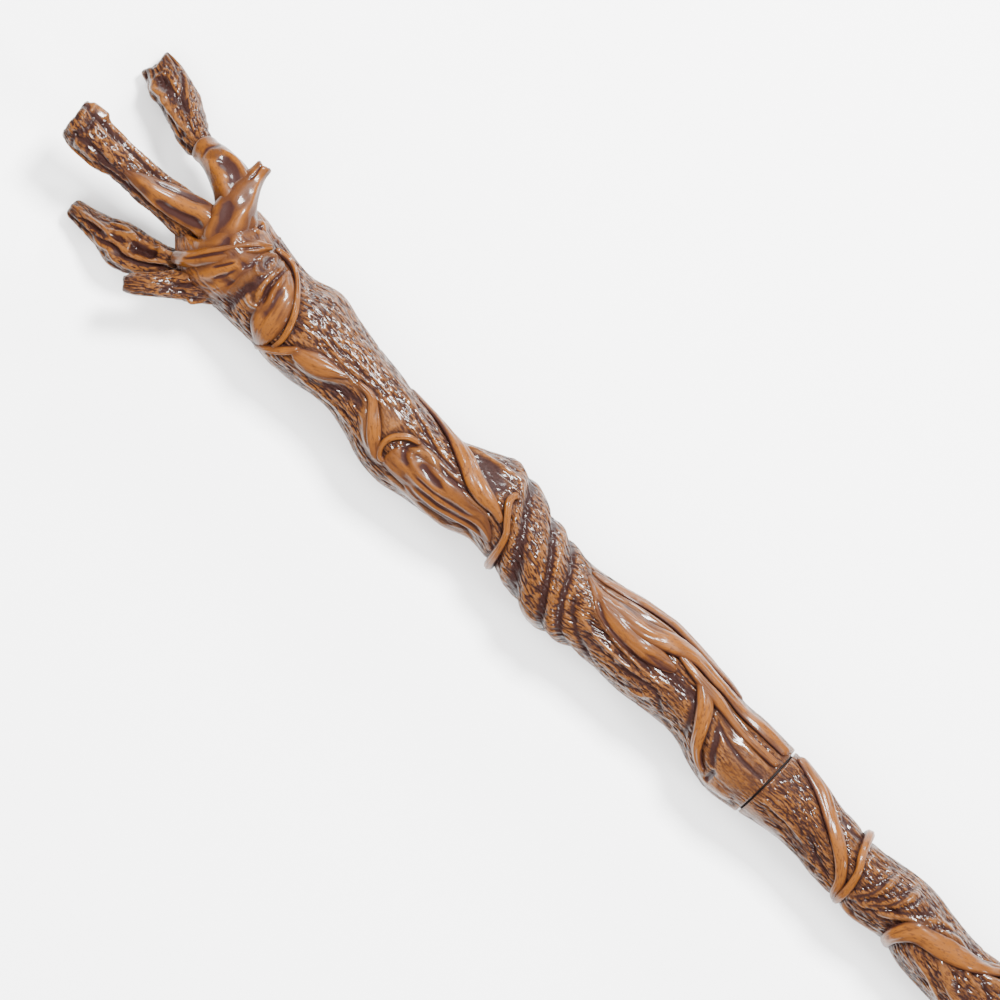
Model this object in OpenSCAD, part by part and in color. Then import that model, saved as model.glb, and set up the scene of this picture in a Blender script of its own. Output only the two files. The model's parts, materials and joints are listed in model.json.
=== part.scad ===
// Gnarled root wand that unscrews into a handle and a shaft.
//
// Two resin castings with steel cores meet at a flat seam. A brass stud in the shaft screws
// into a brass socket in the handle, with a friction washer between the two faces.
// Smooth vines are let into the bark, and a crown at the head carries four root prongs.
//
// The wand lies on a table: +X runs from the butt to the prongs and +Z is up.
// Every module is drawn about the wand's straight axis with the seam at x = 0,
// and place() sets it down on the table with the origin under the middle of the wand.

/* [Castings] */
// Length of the handle, from the seam to the flat butt
handle_len = 148; // [120:1:180]
// Length of the shaft, from the seam to the crown's seat
shaft_len = 164; // [130:1:200]
// Diameter of both castings at the seam
shaft_d = 19.2; // [16:0.1:24]
// Depth of the height swells that make the trunk gnarled, as a share of its radius
lobe = 0.03; // [0:0.005:0.05]

/* [Crown and prongs] */
// Length of the crown casting that carries the prongs
crown_len = 20; // [16:0.5:26]
// Diameter of the crown, which rests on the table
crown_d = 24; // [20:0.5:30]
// How deep the shaft's core rod reaches into the crown
crown_seat = 6; // [4:0.5:7]
// How far the longest prong reaches past the crown's seat
prong_reach = 50.5; // [40:0.5:62]
// How far the outer prongs stand to each side of the axis
prong_spread = 19.5; // [16:0.5:24]
// Diameter of the steel pin in the root of each prong
pin_d = 2; // [1.5:0.1:2.5]
// Length of each prong pin
pin_len = 8; // [6:0.5:10]

/* [Butt] */
// Length of the burl cast on the end of the handle
butt_len = 22; // [18:0.5:28]
// Diameter of the burl, which rests on the table
butt_d = 24; // [20:0.5:30]
// Diameter of the turned plug that closes the core's bore
plug_d = 12; // [10:0.5:13]
// Thickness of the turned plug
plug_t = 4; // [3:0.5:6]

/* [Cores and screw joint] */
// Diameter of the steel core rods
core_d = 6; // [5:0.5:6.5]
// Diameter of the stud where it screws into the handle
stud_d = 8; // [7:0.5:9]
// Length of the stud that stands out of the seam
stud_len = 14; // [10:0.5:18]
// Diameter of the knurled tang that holds the stud in the shaft
tang_d = 11; // [9.5:0.5:12]
// Length of the knurled tang
tang_len = 16; // [12:0.5:20]
// Outside diameter of the brass socket in the handle
socket_d = 12; // [11:0.5:13]
// Length of the brass socket
socket_len = 24; // [20:0.5:30]
// How deep each core rod sits in the brass piece it joins
core_seat = 6; // [4:0.5:8]
// Radial clearance between the stud and its socket
thread_clear = 0.05; // [0.02:0.01:0.1]
// Thickness of the friction washer, which is also the gap at the seam
washer_t = 0.5; // [0.3:0.1:1]
// Outside diameter of the friction washer
washer_d = 16.5; // [14:0.5:17]
// Radial clearance between the washer and the stud
washer_clear = 0.1; // [0.05:0.05:0.3]

/* [Hidden] */

wood = "peru";          // smooth polished vine
bark = "saddlebrown";   // rough dark bark
steel = "silver";
brass = "goldenrod";

radius = shaft_d / 2;
seam_face = washer_t / 2;                 // each casting stops this far from x = 0
crown_x = shaft_len;                      // the crown's seat on the shaft
handle_end = handle_len - butt_len;       // the burl's seat on the handle
tip_x = crown_x + prong_reach;            // the longest prong's end
axis_height = max(crown_d, butt_d) / 2;   // the axis above the table
middle_x = (tip_x - handle_len) / 2;      // the wand's middle, which is over the origin
trunk_sides = 24;
trunk_step = 3.2;
vine_sides = 8;
limb_sides = 12;
limb_rings = 16;
core_bottom = 2;                          // resin or brass left beyond a core rod's end
knurls = 20;
knurl_depth = 0.4;

// Outlines of the two trunks. Each row is the share of the length from the seam, then the
// sideways and upward offset of the centre and the half width and half height, in radii.
shaft_outline = [
    [0.00,  0.00, 0.00, 1.00, 0.98],
    [0.05,  0.03, 0.00, 1.07, 1.00],
    [0.09,  0.00, 0.02, 0.98, 0.96],
    [0.135, -0.17, 0.04, 0.90, 0.94],
    [0.18, -0.19, 0.03, 0.94, 0.96],
    [0.235, -0.15, 0.00, 1.03, 1.00],
    [0.28, -0.09, -0.02, 1.00, 1.02],
    [0.32,  0.01, -0.03, 0.94, 0.98],
    [0.37,  0.21, -0.02, 0.97, 0.96],
    [0.41,  0.19, 0.00, 0.95, 0.97],
    [0.45,  0.06, 0.02, 0.92, 1.00],
    [0.49, -0.07, 0.02, 0.97, 1.00],
    [0.525, -0.23, 0.00, 1.02, 0.98],
    [0.56, -0.12, -0.02, 1.11, 1.00],
    [0.59,  0.04, -0.03, 1.04, 1.02],
    [0.63,  0.22, -0.02, 0.95, 1.00],
    [0.67,  0.31, 0.00, 1.02, 0.98],
    [0.71,  0.27, 0.02, 1.02, 0.98],
    [0.75,  0.12, 0.02, 0.95, 0.97],
    [0.79,  0.03, 0.01, 0.92, 0.96],
    [0.84,  0.03, 0.00, 1.04, 1.00],
    [0.885, 0.02, -0.02, 1.16, 1.05],
    [0.925, 0.09, -0.02, 1.05, 1.04],
    [0.965, 0.06, 0.00, 1.07, 1.06],
    [1.00,  0.00, 0.00, 1.12, 1.10]
];
handle_outline = [
    [0.00,  0.00, 0.00, 0.97, 0.98],
    [0.04, -0.05, 0.00, 0.92, 0.95],
    [0.085, -0.08, 0.01, 0.84, 0.92],
    [0.13, -0.03, 0.02, 0.77, 0.90],
    [0.165, 0.00, 0.02, 0.79, 0.88],
    [0.20,  0.02, 0.00, 0.78, 0.88],
    [0.235, 0.03, -0.01, 0.79, 0.88],
    [0.27,  0.01, -0.02, 0.85, 0.90],
    [0.31, -0.08, -0.02, 0.86, 0.93],
    [0.345, -0.12, -0.01, 0.84, 0.93],
    [0.40,  0.00, 0.00, 0.87, 0.92],
    [0.48,  0.10, 0.02, 0.86, 0.88],
    [0.56,  0.04, 0.03, 0.92, 0.90],
    [0.64, -0.08, 0.00, 0.90, 0.94],
    [0.72, -0.10, -0.03, 0.84, 0.92],
    [0.80,  0.00, -0.02, 0.86, 0.88],
    [0.88,  0.06, 0.00, 0.92, 0.90],
    [0.95,  0.03, 0.00, 0.94, 0.96],
    [1.00,  0.00, 0.00, 1.00, 1.00]
];
// The crown and the burl, in radii of their own diameters, from their seats outwards
crown_outline = [
    [0.00, 0.00, 0.00, 0.88, 0.88],
    [0.20, 0.00, -0.02, 0.97, 0.98],
    [0.45, 0.02, 0.00, 1.00, 0.92],
    [0.70, 0.06, 0.04, 0.84, 0.70],
    [0.88, 0.06, 0.06, 0.56, 0.46],
    [1.00, 0.04, 0.08, 0.20, 0.18]
];
butt_outline = [
    [0.00, 0.00, 0.00, 0.80, 0.80],
    [0.18, 0.03, 0.01, 0.90, 0.92],
    [0.45, 0.04, -0.01, 0.98, 0.99],
    [0.70, 0.00, 0.00, 0.92, 0.95],
    [0.88, -0.02, 0.00, 0.78, 0.80],
    [1.00, 0.00, 0.00, 0.62, 0.62]
];

// ---------- curves through rows of numbers ----------

function segment(rows, u, i = 0) = i >= len(rows) - 2 || u < rows[i + 1][0] ? i : segment(rows, u, i + 1);
function blend4(a, b, c, d, t) =
    b + 0.5 * t * ((c - a) + t * (2 * a - 5 * b + 4 * c - d + t * (3 * (b - c) + d - a)));
// A smooth curve through rows whose first value is the parameter
function curve(rows, u) =
    let (i = segment(rows, u), t = (u - rows[i][0]) / (rows[i + 1][0] - rows[i][0]))
    blend4(rows[max(i - 1, 0)], rows[i], rows[i + 1], rows[min(i + 2, len(rows) - 1)], t);
// The same through rows that are evenly spaced, for u from 0 to 1
function along(rows, u) =
    let (n = len(rows) - 1, i = min(floor(u * n), n - 1), t = u * n - i)
    blend4(rows[max(i - 1, 0)], rows[i], rows[i + 1], rows[min(i + 2, n)], t);
function unit(v) = v / norm(v);

// ---------- trunks: rings square to the axis ----------

// How far the skin swells or sinks at a place, as a factor on the radius
function gnarl(x, a) = 1 + lobe * (sin(3 * a + 5.1 * x) + 0.7 * sin(5 * a - 3.7 * x + 40));
// A point of a trunk's skin. spec is [outline, seat, end, radius]; a is from +Z towards +Y.
function skin(spec, x, a, lift = 0) =
    let (
        u = (x - spec[1]) / (spec[2] - spec[1]),
        o = curve(spec[0], min(max(u, 0), 1)) * spec[3],
        k = gnarl(x, a)
    )
    [x, o[1] + (o[3] * k + lift) * sin(a), o[2] + (o[4] * k + lift) * cos(a)];

shaft_spec = [shaft_outline, 0, shaft_len, radius];
handle_spec = [handle_outline, 0, -handle_end, radius];
crown_spec = [crown_outline, crown_x, crown_x + crown_len, crown_d / 2];
butt_spec = [butt_outline, -handle_end, -handle_len, butt_d / 2];

// A closed solid through rings that hold the same number of points
module skinned(rings) {
    n = len(rings[0]);
    m = len(rings);
    sides = [
        for (i = [0:m - 2]) for (j = [0:n - 1]) let (k = (j + 1) % n)
            for (f = [[i * n + j, i * n + k, (i + 1) * n + k], [i * n + j, (i + 1) * n + k, (i + 1) * n + j]]) f
    ];
    first = [for (j = [n - 1:-1:0]) j];
    last = [for (j = [0:n - 1]) (m - 1) * n + j];
    polyhedron(points = [for (r = rings) for (p = r) p], faces = concat(sides, [first, last]));
}
module trunk(spec, x0, x1) {
    n = ceil(abs(x1 - x0) / trunk_step);
    turn = x1 > x0 ? 1 : -1;
    skinned([
        for (i = [0:n]) let (x = x0 + (x1 - x0) * i / n)
            [for (j = [0:trunk_sides - 1]) skin(spec, x, -turn * j * 360 / trunk_sides)]
    ]);
}
// A round bar or bore along the axis from x0 to x1
module bar(x0, x1, d) translate([min(x0, x1), 0, 0]) rotate([0, 90, 0]) cylinder(h = abs(x1 - x0), d = d, $fn = 64);
module place() translate([-middle_x, 0, axis_height]) children();

// ---------- vines: strips that follow a trunk's skin ----------

// Each row of a vine is [x, angle from the top towards +Y, half width, height over the skin].
// x is in shaft lengths on the shaft and in handle lengths on the handle, and sizes are in mm.
function vine_ring(spec, rows, u, span, sink) =
    let (
        e = 0.01,
        row = along(rows, u),
        a = along(rows, max(u - e, 0)),
        b = along(rows, min(u + e, 1)),
        c = skin(spec, row[0] * span, row[1]),
        t = unit(skin(spec, b[0] * span, b[1]) - skin(spec, a[0] * span, a[1])),
        up = unit(skin(spec, row[0] * span, row[1], 1) - c),
        side = unit(cross(t, up)),
        out = unit(cross(side, t)),
        w = max(row[2], 0.2),
        h = max(row[3], 0.15)
    )
    [
        for (j = [0:vine_sides - 1]) let (q = (j + 0.5) * 360 / vine_sides)
            c + side * w * cos(q) + out * (sin(q) > 0 ? h : sink) * sin(q)
    ];
module vine(spec, rows, span, sink = 1, rings = 14)
    skinned([for (i = [0:rings]) vine_ring(spec, rows, i / rings, span, sink)]);
module shaft_vine(rows, sink = 1, rings = 14) vine(shaft_spec, rows, shaft_len, sink, rings);
module handle_strip(rows, sink = 1, rings = 14) vine(handle_spec, rows, -handle_end, sink, rings);

// ---------- limbs: free roots along a route ----------

// Each row is [x, y, z, half width, half height]
function limb_ring(rows, u) =
    let (
        e = 0.01,
        row = along(rows, u),
        a = along(rows, max(u - e, 0)),
        b = along(rows, min(u + e, 1)),
        t = unit([b[0] - a[0], b[1] - a[1], b[2] - a[2]]),
        side = unit(cross(t, [0, 0, 1])),
        out = cross(side, t)
    )
    [
        for (j = [0:limb_sides - 1]) let (q = j * 360 / limb_sides, k = 1 + 2 * lobe * sin(2 * q + 300 * u))
            [row[0], row[1], row[2]] + side * row[3] * k * cos(q) + out * row[4] * k * sin(q)
    ];
module limb(rows, rings = limb_rings) skinned([for (i = [0:rings]) limb_ring(rows, i / rings)]);

// Crown sizes that the prongs and arms follow
spread = prong_spread;
reach = prong_reach;
crown_r = crown_d / 2;
low = crown_r;            // how far the table is below the axis at the crown

// Routes of the prongs, from their roots in the crown to their tips
upper_route = [
    [crown_x + 0.48 * reach, -0.67 * spread, 0.2, 3.1, 2.9],
    [crown_x + 0.57 * reach, -0.69 * spread, -1.2, 3.3, 3.0],
    [crown_x + 0.67 * reach, -0.77 * spread, -3.2, 3.9, 3.2],
    [crown_x + 0.77 * reach, -0.88 * spread, -5.4, 4.6, 3.3],
    [crown_x + 0.86 * reach, -0.95 * spread, -low + 4.1, 4.5, 3.3],
    [crown_x + 0.92 * reach, -0.98 * spread, -low + 3.2, 3.8, 2.8]
];
middle_route = [
    [crown_x + 0.24 * reach, 0.02 * spread, 2.2, 4.4, 3.6],
    [crown_x + 0.36 * reach, 0.03 * spread, 3.2, 4.7, 3.6],
    [crown_x + 0.52 * reach, 0.07 * spread, 4.4, 4.4, 3.5],
    [crown_x + 0.70 * reach, 0.10 * spread, 5.6, 4.5, 3.7],
    [crown_x + 0.88 * reach, 0.13 * spread, 6.8, 5.2, 4.0],
    [crown_x + reach, 0.12 * spread, 7.4, 4.5, 3.6]
];
lower_route = [
    [crown_x + 0.18 * reach, 0.42 * spread, -2.0, 3.0, 3.0],
    [crown_x + 0.30 * reach, 0.61 * spread, -2.4, 3.8, 3.2],
    [crown_x + 0.42 * reach, 0.75 * spread, -3.4, 4.9, 3.4],
    [crown_x + 0.51 * reach, 0.79 * spread, -4.8, 4.7, 3.2],
    [crown_x + 0.60 * reach, 0.83 * spread, -6.4, 3.5, 2.9],
    [crown_x + 0.68 * reach, 0.86 * spread, -low + 4.0, 2.9, 2.8],
    [crown_x + 0.745 * reach, 0.88 * spread, -low + 3.2, 2.5, 2.5]
];
stub_route = [
    [crown_x + 0.09 * reach, 0.50 * spread, 3.4, 3.4, 2.8],
    [crown_x + 0.17 * reach, 0.70 * spread, 3.8, 3.1, 2.6],
    [crown_x + 0.25 * reach, 0.89 * spread, 4.2, 2.7, 2.4],
    [crown_x + 0.33 * reach, 1.07 * spread, 4.6, 2.3, 2.1]
];
// The smooth arms that grip the upper and middle prongs
upper_arm_route = [
    [crown_x + 0.09 * reach, -0.22 * spread, 5.6, 3.6, 3.4],
    [crown_x + 0.19 * reach, -0.40 * spread, 6.0, 4.2, 3.8],
    [crown_x + 0.30 * reach, -0.60 * spread, 4.8, 4.8, 4.0],
    [crown_x + 0.42 * reach, -0.66 * spread, 2.2, 4.5, 4.0],
    [crown_x + 0.52 * reach, -0.66 * spread, -0.4, 3.8, 3.6]
];
thorn_route = [
    [crown_x + 0.13 * reach, 0.10 * spread, 8.6, 2.8, 2.2],
    [crown_x + 0.19 * reach, -0.24 * spread, 8.8, 3.3, 2.6],
    [crown_x + 0.235 * reach, -0.56 * spread, 7.2, 3.2, 2.8],
    [crown_x + 0.255 * reach, -0.82 * spread, 5.4, 2.3, 2.3],
    [crown_x + 0.26 * reach, -1.03 * spread, 4.6, 1.7, 1.7]
];
middle_arm_route = [
    [crown_x + 0.16 * reach, -0.06 * spread, 6.0, 3.6, 3.4],
    [crown_x + 0.30 * reach, -0.08 * spread, 6.4, 3.6, 2.8],
    [crown_x + 0.44 * reach, 0.02 * spread, 6.8, 3.4, 2.3],
    [crown_x + 0.58 * reach, 0.10 * spread, 7.6, 2.4, 2.0],
    [crown_x + 0.68 * reach, 0.15 * spread, 8.4, 0.8, 0.8]
];
// A root that crosses the crown from the brow to the lower prong
wrap_route = [
    [crown_x - 0.02 * reach, -0.40 * spread, 8.2, 1.3, 1.3],
    [crown_x + 0.06 * reach, -0.17 * spread, 10.0, 1.9, 1.6],
    [crown_x + 0.14 * reach, 0.12 * spread, 9.9, 2.1, 1.7],
    [crown_x + 0.22 * reach, 0.38 * spread, 7.2, 2.2, 1.8],
    [crown_x + 0.30 * reach, 0.55 * spread, 2.6, 1.8, 1.8]
];

// A pin along the first stretch of a limb, half in the limb and half in what holds it
module route_pin(rows, d = pin_d) {
    a = [rows[0][0], rows[0][1], rows[0][2]];
    t = unit([rows[1][0], rows[1][1], rows[1][2]] - a);
    s = a - t * pin_len / 2;
    translate(s) rotate([0, acos(t[2]), atan2(t[1], t[0])]) cylinder(h = pin_len, d = d, $fn = 32);
}

// ---------- handle ----------

module handle_trunk() color(bark) place() difference() {
    trunk(handle_spec, -seam_face, -handle_end);
    bar(1, -seam_face - socket_len, socket_d);
    bar(-socket_len, -handle_end - 1, core_d);
}
module handle_core() color(steel) place()
    bar(-seam_face - socket_len + core_seat, -handle_len + plug_t + core_bottom, core_d);
// Brass socket, open to the seam for the stud and to the other end for the core
module socket_insert() color(brass) place() difference() {
    bar(-seam_face, -seam_face - socket_len, socket_d);
    bar(1, -seam_face - socket_len + core_seat, stud_d + 2 * thread_clear);
    bar(-socket_len + core_seat, -seam_face - socket_len - 1, core_d);
}
module butt_burl() color(bark) place() difference() {
    trunk(butt_spec, -handle_end, -handle_len);
    bar(-handle_end + 1, -handle_len + plug_t + core_bottom, core_d);
    bar(-handle_len + plug_t, -handle_len - 1, plug_d);
}
module butt_plug() color(wood) place() bar(-handle_len, -handle_len + plug_t, plug_d);

// Broad vine that leaves the seam low on one side and climbs over the handle
module handle_vine() color(wood) place() handle_strip([
    [0.012, -74, 1.9, 0.8],
    [0.048, -62, 2.1, 0.9],
    [0.087, -51, 2.2, 1.0],
    [0.123, -35, 2.2, 1.1],
    [0.159, -16, 1.9, 1.0],
    [0.190, 4, 1.6, 1.0],
    [0.214, 30, 1.3, 0.9],
    [0.226, 64, 1.0, 0.8],
    [0.245, 110, 0.6, 0.4]
], rings = 20);
// Thin tendril that rings the handle and crosses the vine
module handle_tendril() color(wood) place() handle_strip([
    [0.236, 96, 0.8, 0.7],
    [0.236, 62, 1.0, 1.0],
    [0.235, 30, 1.0, 1.1],
    [0.227, -2, 1.0, 1.1],
    [0.211, -28, 1.1, 1.2],
    [0.2015, -60, 1.2, 1.4],
    [0.199, -98, 1.2, 1.5],
    [0.203, -135, 0.8, 0.5]
], rings = 20);
// Smooth root that loops out of the bark further down
module handle_root() color(wood) place() handle_strip([
    [0.356, 104, 1.3, 0.6],
    [0.350, 64, 1.7, 1.0],
    [0.354, 36, 2.0, 1.2],
    [0.376, 8, 2.4, 1.2],
    [0.430, -12, 2.6, 1.1],
    [0.500, -40, 2.2, 1.0],
    [0.570, -84, 1.7, 0.8],
    [0.630, -130, 0.8, 0.3]
], rings = 20);
module grip_vine() color(wood) place() handle_strip([
    [0.400, 175, 0.8, 0.3],
    [0.470, 150, 1.6, 0.8],
    [0.550, 118, 2.0, 1.0],
    [0.630, 80, 2.2, 1.0],
    [0.700, 46, 2.0, 1.0],
    [0.760, 10, 1.6, 0.9],
    [0.820, -30, 1.2, 0.8],
    [0.880, -60, 0.6, 0.4]
], rings = 18);
module butt_vine() color(wood) place() handle_strip([
    [0.740, -150, 0.8, 0.4],
    [0.790, -110, 1.5, 0.8],
    [0.850, -82, 1.8, 1.0],
    [0.910, -68, 1.8, 0.9],
    [0.965, -60, 1.5, 0.7]
]);

// ---------- seam ----------

module friction_washer() color("dimgray") place() difference() {
    bar(-seam_face, seam_face, washer_d);
    bar(-1, 1, stud_d + 2 * washer_clear);
}

// ---------- shaft ----------

module shaft_trunk() color(bark) place() difference() {
    trunk(shaft_spec, seam_face, shaft_len);
    bar(-1, seam_face + tang_len, tang_d);
    bar(tang_len - 1, shaft_len + 1, core_d);
}
module shaft_core() color(steel) place()
    bar(seam_face + tang_len - core_seat, crown_x + crown_seat, core_d);
// Brass stud: a knurled tang in the shaft, a screw that stands out of the seam and a lead-in nose
module screw_stud() color(brass) place() difference() {
    union() {
        bar(seam_face, seam_face + tang_len, tang_d - 2 * knurl_depth);
        for (i = [0:knurls - 1]) rotate([i * 360 / knurls, 0, 0])
            translate([seam_face, -knurl_depth, tang_d / 2 - 2 * knurl_depth])
                cube([tang_len, 2 * knurl_depth, 1.9 * knurl_depth]);
        bar(-stud_len + 1, seam_face, stud_d);
        translate([-stud_len, 0, 0]) rotate([0, 90, 0])
            cylinder(h = 1, d1 = stud_d - 2, d2 = stud_d, $fn = 64);
    }
    bar(seam_face + tang_len - core_seat, seam_face + tang_len + 1, core_d);
}

// Long smooth root from the seam, along the side and up into a ridge
module seam_root() color(wood) place() shaft_vine([
    [0.005, -55, 1.8, 0.8],
    [0.050, -56, 2.0, 0.9],
    [0.098, -56, 2.0, 1.0],
    [0.146, -50, 2.0, 1.1],
    [0.183, -50, 2.1, 1.2],
    [0.220, -37, 2.3, 1.2],
    [0.262, -24, 2.3, 1.1],
    [0.305, -25, 2.1, 0.9],
    [0.342, -31, 1.6, 0.7],
    [0.372, -52, 0.6, 0.3]
], rings = 24);
// Narrower rib above it, which ends at the seam too
module seam_rib() color(wood) place() shaft_vine([
    [0.005, -29, 1.0, 0.6],
    [0.054, -27, 1.2, 0.8],
    [0.104, -29, 1.3, 0.9],
    [0.146, -26, 1.4, 1.0],
    [0.183, -29, 1.2, 0.9],
    [0.215, -33, 0.6, 0.4]
]);
// Tongue that leaves the ribs and curls up to a knot
module curl_vine() color(wood) place() shaft_vine([
    [0.166, -28, 1.2, 0.6],
    [0.150, -20, 1.8, 1.0],
    [0.132, -4, 2.0, 1.2],
    [0.116, 18, 2.0, 1.3],
    [0.104, 38, 1.9, 1.3],
    [0.088, 52, 1.5, 1.1],
    [0.070, 58, 0.9, 0.7]
]);
// Broad smooth root above the ridge
module spread_root() color(wood) place() shaft_vine([
    [0.195, -12, 0.8, 0.4],
    [0.225, -7, 2.0, 0.7],
    [0.270, -5, 2.6, 0.8],
    [0.315, -13, 2.2, 0.8],
    [0.345, -27, 1.0, 0.5]
]);
module flank_vine() color(wood) place() shaft_vine([
    [0.100, -96, 1.0, 0.5],
    [0.150, -88, 1.8, 0.9],
    [0.210, -80, 2.2, 1.0],
    [0.270, -70, 2.1, 1.0],
    [0.330, -63, 1.7, 0.8],
    [0.372, -64, 0.7, 0.4]
]);
module back_vine() color(wood) place() shaft_vine([
    [0.020, 150, 1.0, 0.5],
    [0.100, 168, 2.0, 1.0],
    [0.190, 196, 2.3, 1.1],
    [0.280, 222, 2.1, 1.0],
    [0.370, 200, 2.0, 1.0],
    [0.450, 165, 2.2, 1.1],
    [0.540, 150, 2.4, 1.1],
    [0.640, 178, 2.2, 1.0],
    [0.740, 210, 2.0, 1.0],
    [0.840, 196, 2.0, 1.0],
    [0.930, 172, 1.0, 0.6]
], rings = 44);
// Slim tendril with a free tip over the edge and a hook at its end
module hook_tendril() color(wood) place() shaft_vine([
    [0.477, 112, 0.8, 0.8],
    [0.479, 88, 1.0, 1.4],
    [0.4835, 42, 0.9, 1.3],
    [0.491, 13, 0.9, 1.2],
    [0.506, 0, 0.9, 1.2],
    [0.519, -11, 0.9, 1.2],
    [0.519, -21, 0.8, 1.1],
    [0.511, -26, 0.6, 0.8]
], rings = 20);
// Wide folded root that drapes over the side
module mantle_root() color(wood) place() shaft_vine([
    [0.500, 44, 1.2, 0.3],
    [0.530, 40, 3.0, 0.6],
    [0.570, 38, 4.2, 0.8],
    [0.610, 30, 4.6, 0.9],
    [0.650, 24, 4.2, 0.8],
    [0.685, 22, 2.6, 0.5]
], rings = 16);
module side_vine() color(wood) place() shaft_vine([
    [0.507, 10, 0.9, 0.5],
    [0.542, 3, 1.6, 1.0],
    [0.575, -12, 2.0, 1.2],
    [0.605, -36, 2.1, 1.2],
    [0.640, -64, 1.9, 1.0],
    [0.680, -84, 1.6, 0.9],
    [0.725, -92, 0.8, 0.4]
], rings = 18);
// Raised C-shaped lip at the mantle's end
module lip_vine() color(wood) place() shaft_vine([
    [0.660, -16, 0.5, 0.5],
    [0.680, -11, 0.8, 1.0],
    [0.695, 4, 0.9, 1.2],
    [0.698, 20, 0.9, 1.2],
    [0.690, 34, 0.8, 1.1],
    [0.678, 35, 0.6, 0.8]
], rings = 16);
module fork_vine() color(wood) place() shaft_vine([
    [0.690, 46, 1.0, 0.6],
    [0.713, 24, 1.7, 1.0],
    [0.735, 8, 1.6, 1.0],
    [0.756, -4, 1.2, 0.9],
    [0.783, -1, 0.6, 0.5]
]);
module leaf_root() color(wood) place() shaft_vine([
    [0.794, 4, 0.5, 0.4],
    [0.817, 14, 1.8, 0.8],
    [0.842, 21, 2.3, 0.9],
    [0.866, 26, 1.6, 0.8],
    [0.881, 27, 0.4, 0.4]
]);
module ledge_tendril() color(wood) place() shaft_vine([
    [0.868, 20, 0.7, 0.8],
    [0.884, 34, 0.9, 1.3],
    [0.902, 50, 0.9, 1.3],
    [0.914, 66, 0.8, 1.0],
    [0.918, 90, 0.5, 0.4]
]);
module brow_vine() color(wood) place() shaft_vine([
    [0.899, 44, 0.7, 0.8],
    [0.896, 24, 0.9, 1.1],
    [0.904, -2, 0.9, 1.2],
    [0.921, -28, 1.0, 1.2],
    [0.943, -56, 1.0, 1.2],
    [0.967, -66, 1.0, 1.2],
    [0.990, -54, 0.8, 0.9]
], rings = 20);
module fold_vine() color(wood) place() shaft_vine([
    [0.914, 66, 1.4, 0.5],
    [0.925, 34, 2.7, 0.8],
    [0.931, 4, 2.8, 0.8],
    [0.943, -24, 2.4, 0.8],
    [0.962, -46, 1.4, 0.6]
]);

// ---------- crown ----------

module crown_knot() color(wood) place() difference() {
    trunk(crown_spec, crown_x, crown_x + crown_len);
    bar(crown_x - 1, crown_x + crown_seat, core_d);
    for (r = [middle_route, lower_route, stub_route]) route_pin(r);
}
module upper_arm() color(wood) place() difference() {
    limb(upper_arm_route);
    route_pin(upper_route);
}
module thorn_root() color(wood) place() limb(thorn_route, 12);
module crown_wrap() color(wood) place() limb(wrap_route);
module middle_arm() color(wood) place() limb(middle_arm_route);
module prong(rows) color(bark) place() difference() {
    limb(rows);
    route_pin(rows);
}
module prong_upper() prong(upper_route);
module prong_middle() prong(middle_route);
module prong_lower() prong(lower_route);
module prong_stub() prong(stub_route);
module prong_pins() color(steel) place()
    for (r = [upper_route, middle_route, lower_route, stub_route]) route_pin(r);

handle_trunk();
handle_core();
socket_insert();
butt_burl();
butt_plug();
handle_vine();
handle_tendril();
handle_root();
grip_vine();
butt_vine();
friction_washer();
shaft_trunk();
shaft_core();
screw_stud();
seam_root();
seam_rib();
curl_vine();
spread_root();
flank_vine();
back_vine();
hook_tendril();
mantle_root();
side_vine();
lip_vine();
fork_vine();
leaf_root();
ledge_tendril();
crown_knot();
brow_vine();
fold_vine();
crown_wrap();
upper_arm();
thorn_root();
middle_arm();
prong_upper();
prong_middle();
prong_lower();
prong_stub();
prong_pins();
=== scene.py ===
"""A gnarled root wand on a pale floor: carved bark, smooth vines, four root prongs and a screw joint.

Shapes are worked out in millimetres about the wand's axis, with the seam at x = 0 and the prongs at +X.
The frame says where that axis lies, so every piece lands where its CAD solid is.
"""
import itertools
import json
import math

import bpy
import numpy as np
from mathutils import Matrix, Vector
from mathutils.bvhtree import BVHTree

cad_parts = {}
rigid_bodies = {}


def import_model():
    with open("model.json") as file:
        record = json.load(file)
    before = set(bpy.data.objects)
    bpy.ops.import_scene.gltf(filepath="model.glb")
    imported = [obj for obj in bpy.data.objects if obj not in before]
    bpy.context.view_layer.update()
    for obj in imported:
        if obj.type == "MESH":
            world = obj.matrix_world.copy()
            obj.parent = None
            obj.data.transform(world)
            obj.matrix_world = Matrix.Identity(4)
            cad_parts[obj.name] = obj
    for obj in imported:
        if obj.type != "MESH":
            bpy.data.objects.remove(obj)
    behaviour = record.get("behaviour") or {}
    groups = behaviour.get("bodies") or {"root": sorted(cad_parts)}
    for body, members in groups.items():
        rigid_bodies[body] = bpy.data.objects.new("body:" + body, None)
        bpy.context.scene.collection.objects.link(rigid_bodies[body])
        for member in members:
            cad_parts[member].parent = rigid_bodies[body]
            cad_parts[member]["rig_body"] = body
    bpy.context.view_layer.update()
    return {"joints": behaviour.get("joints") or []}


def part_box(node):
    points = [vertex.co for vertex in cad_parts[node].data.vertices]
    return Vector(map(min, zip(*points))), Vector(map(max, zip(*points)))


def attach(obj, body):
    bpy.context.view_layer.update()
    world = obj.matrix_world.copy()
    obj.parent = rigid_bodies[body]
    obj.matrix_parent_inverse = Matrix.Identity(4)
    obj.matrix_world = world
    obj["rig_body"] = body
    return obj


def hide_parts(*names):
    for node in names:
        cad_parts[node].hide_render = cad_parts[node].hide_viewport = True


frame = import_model()

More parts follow.
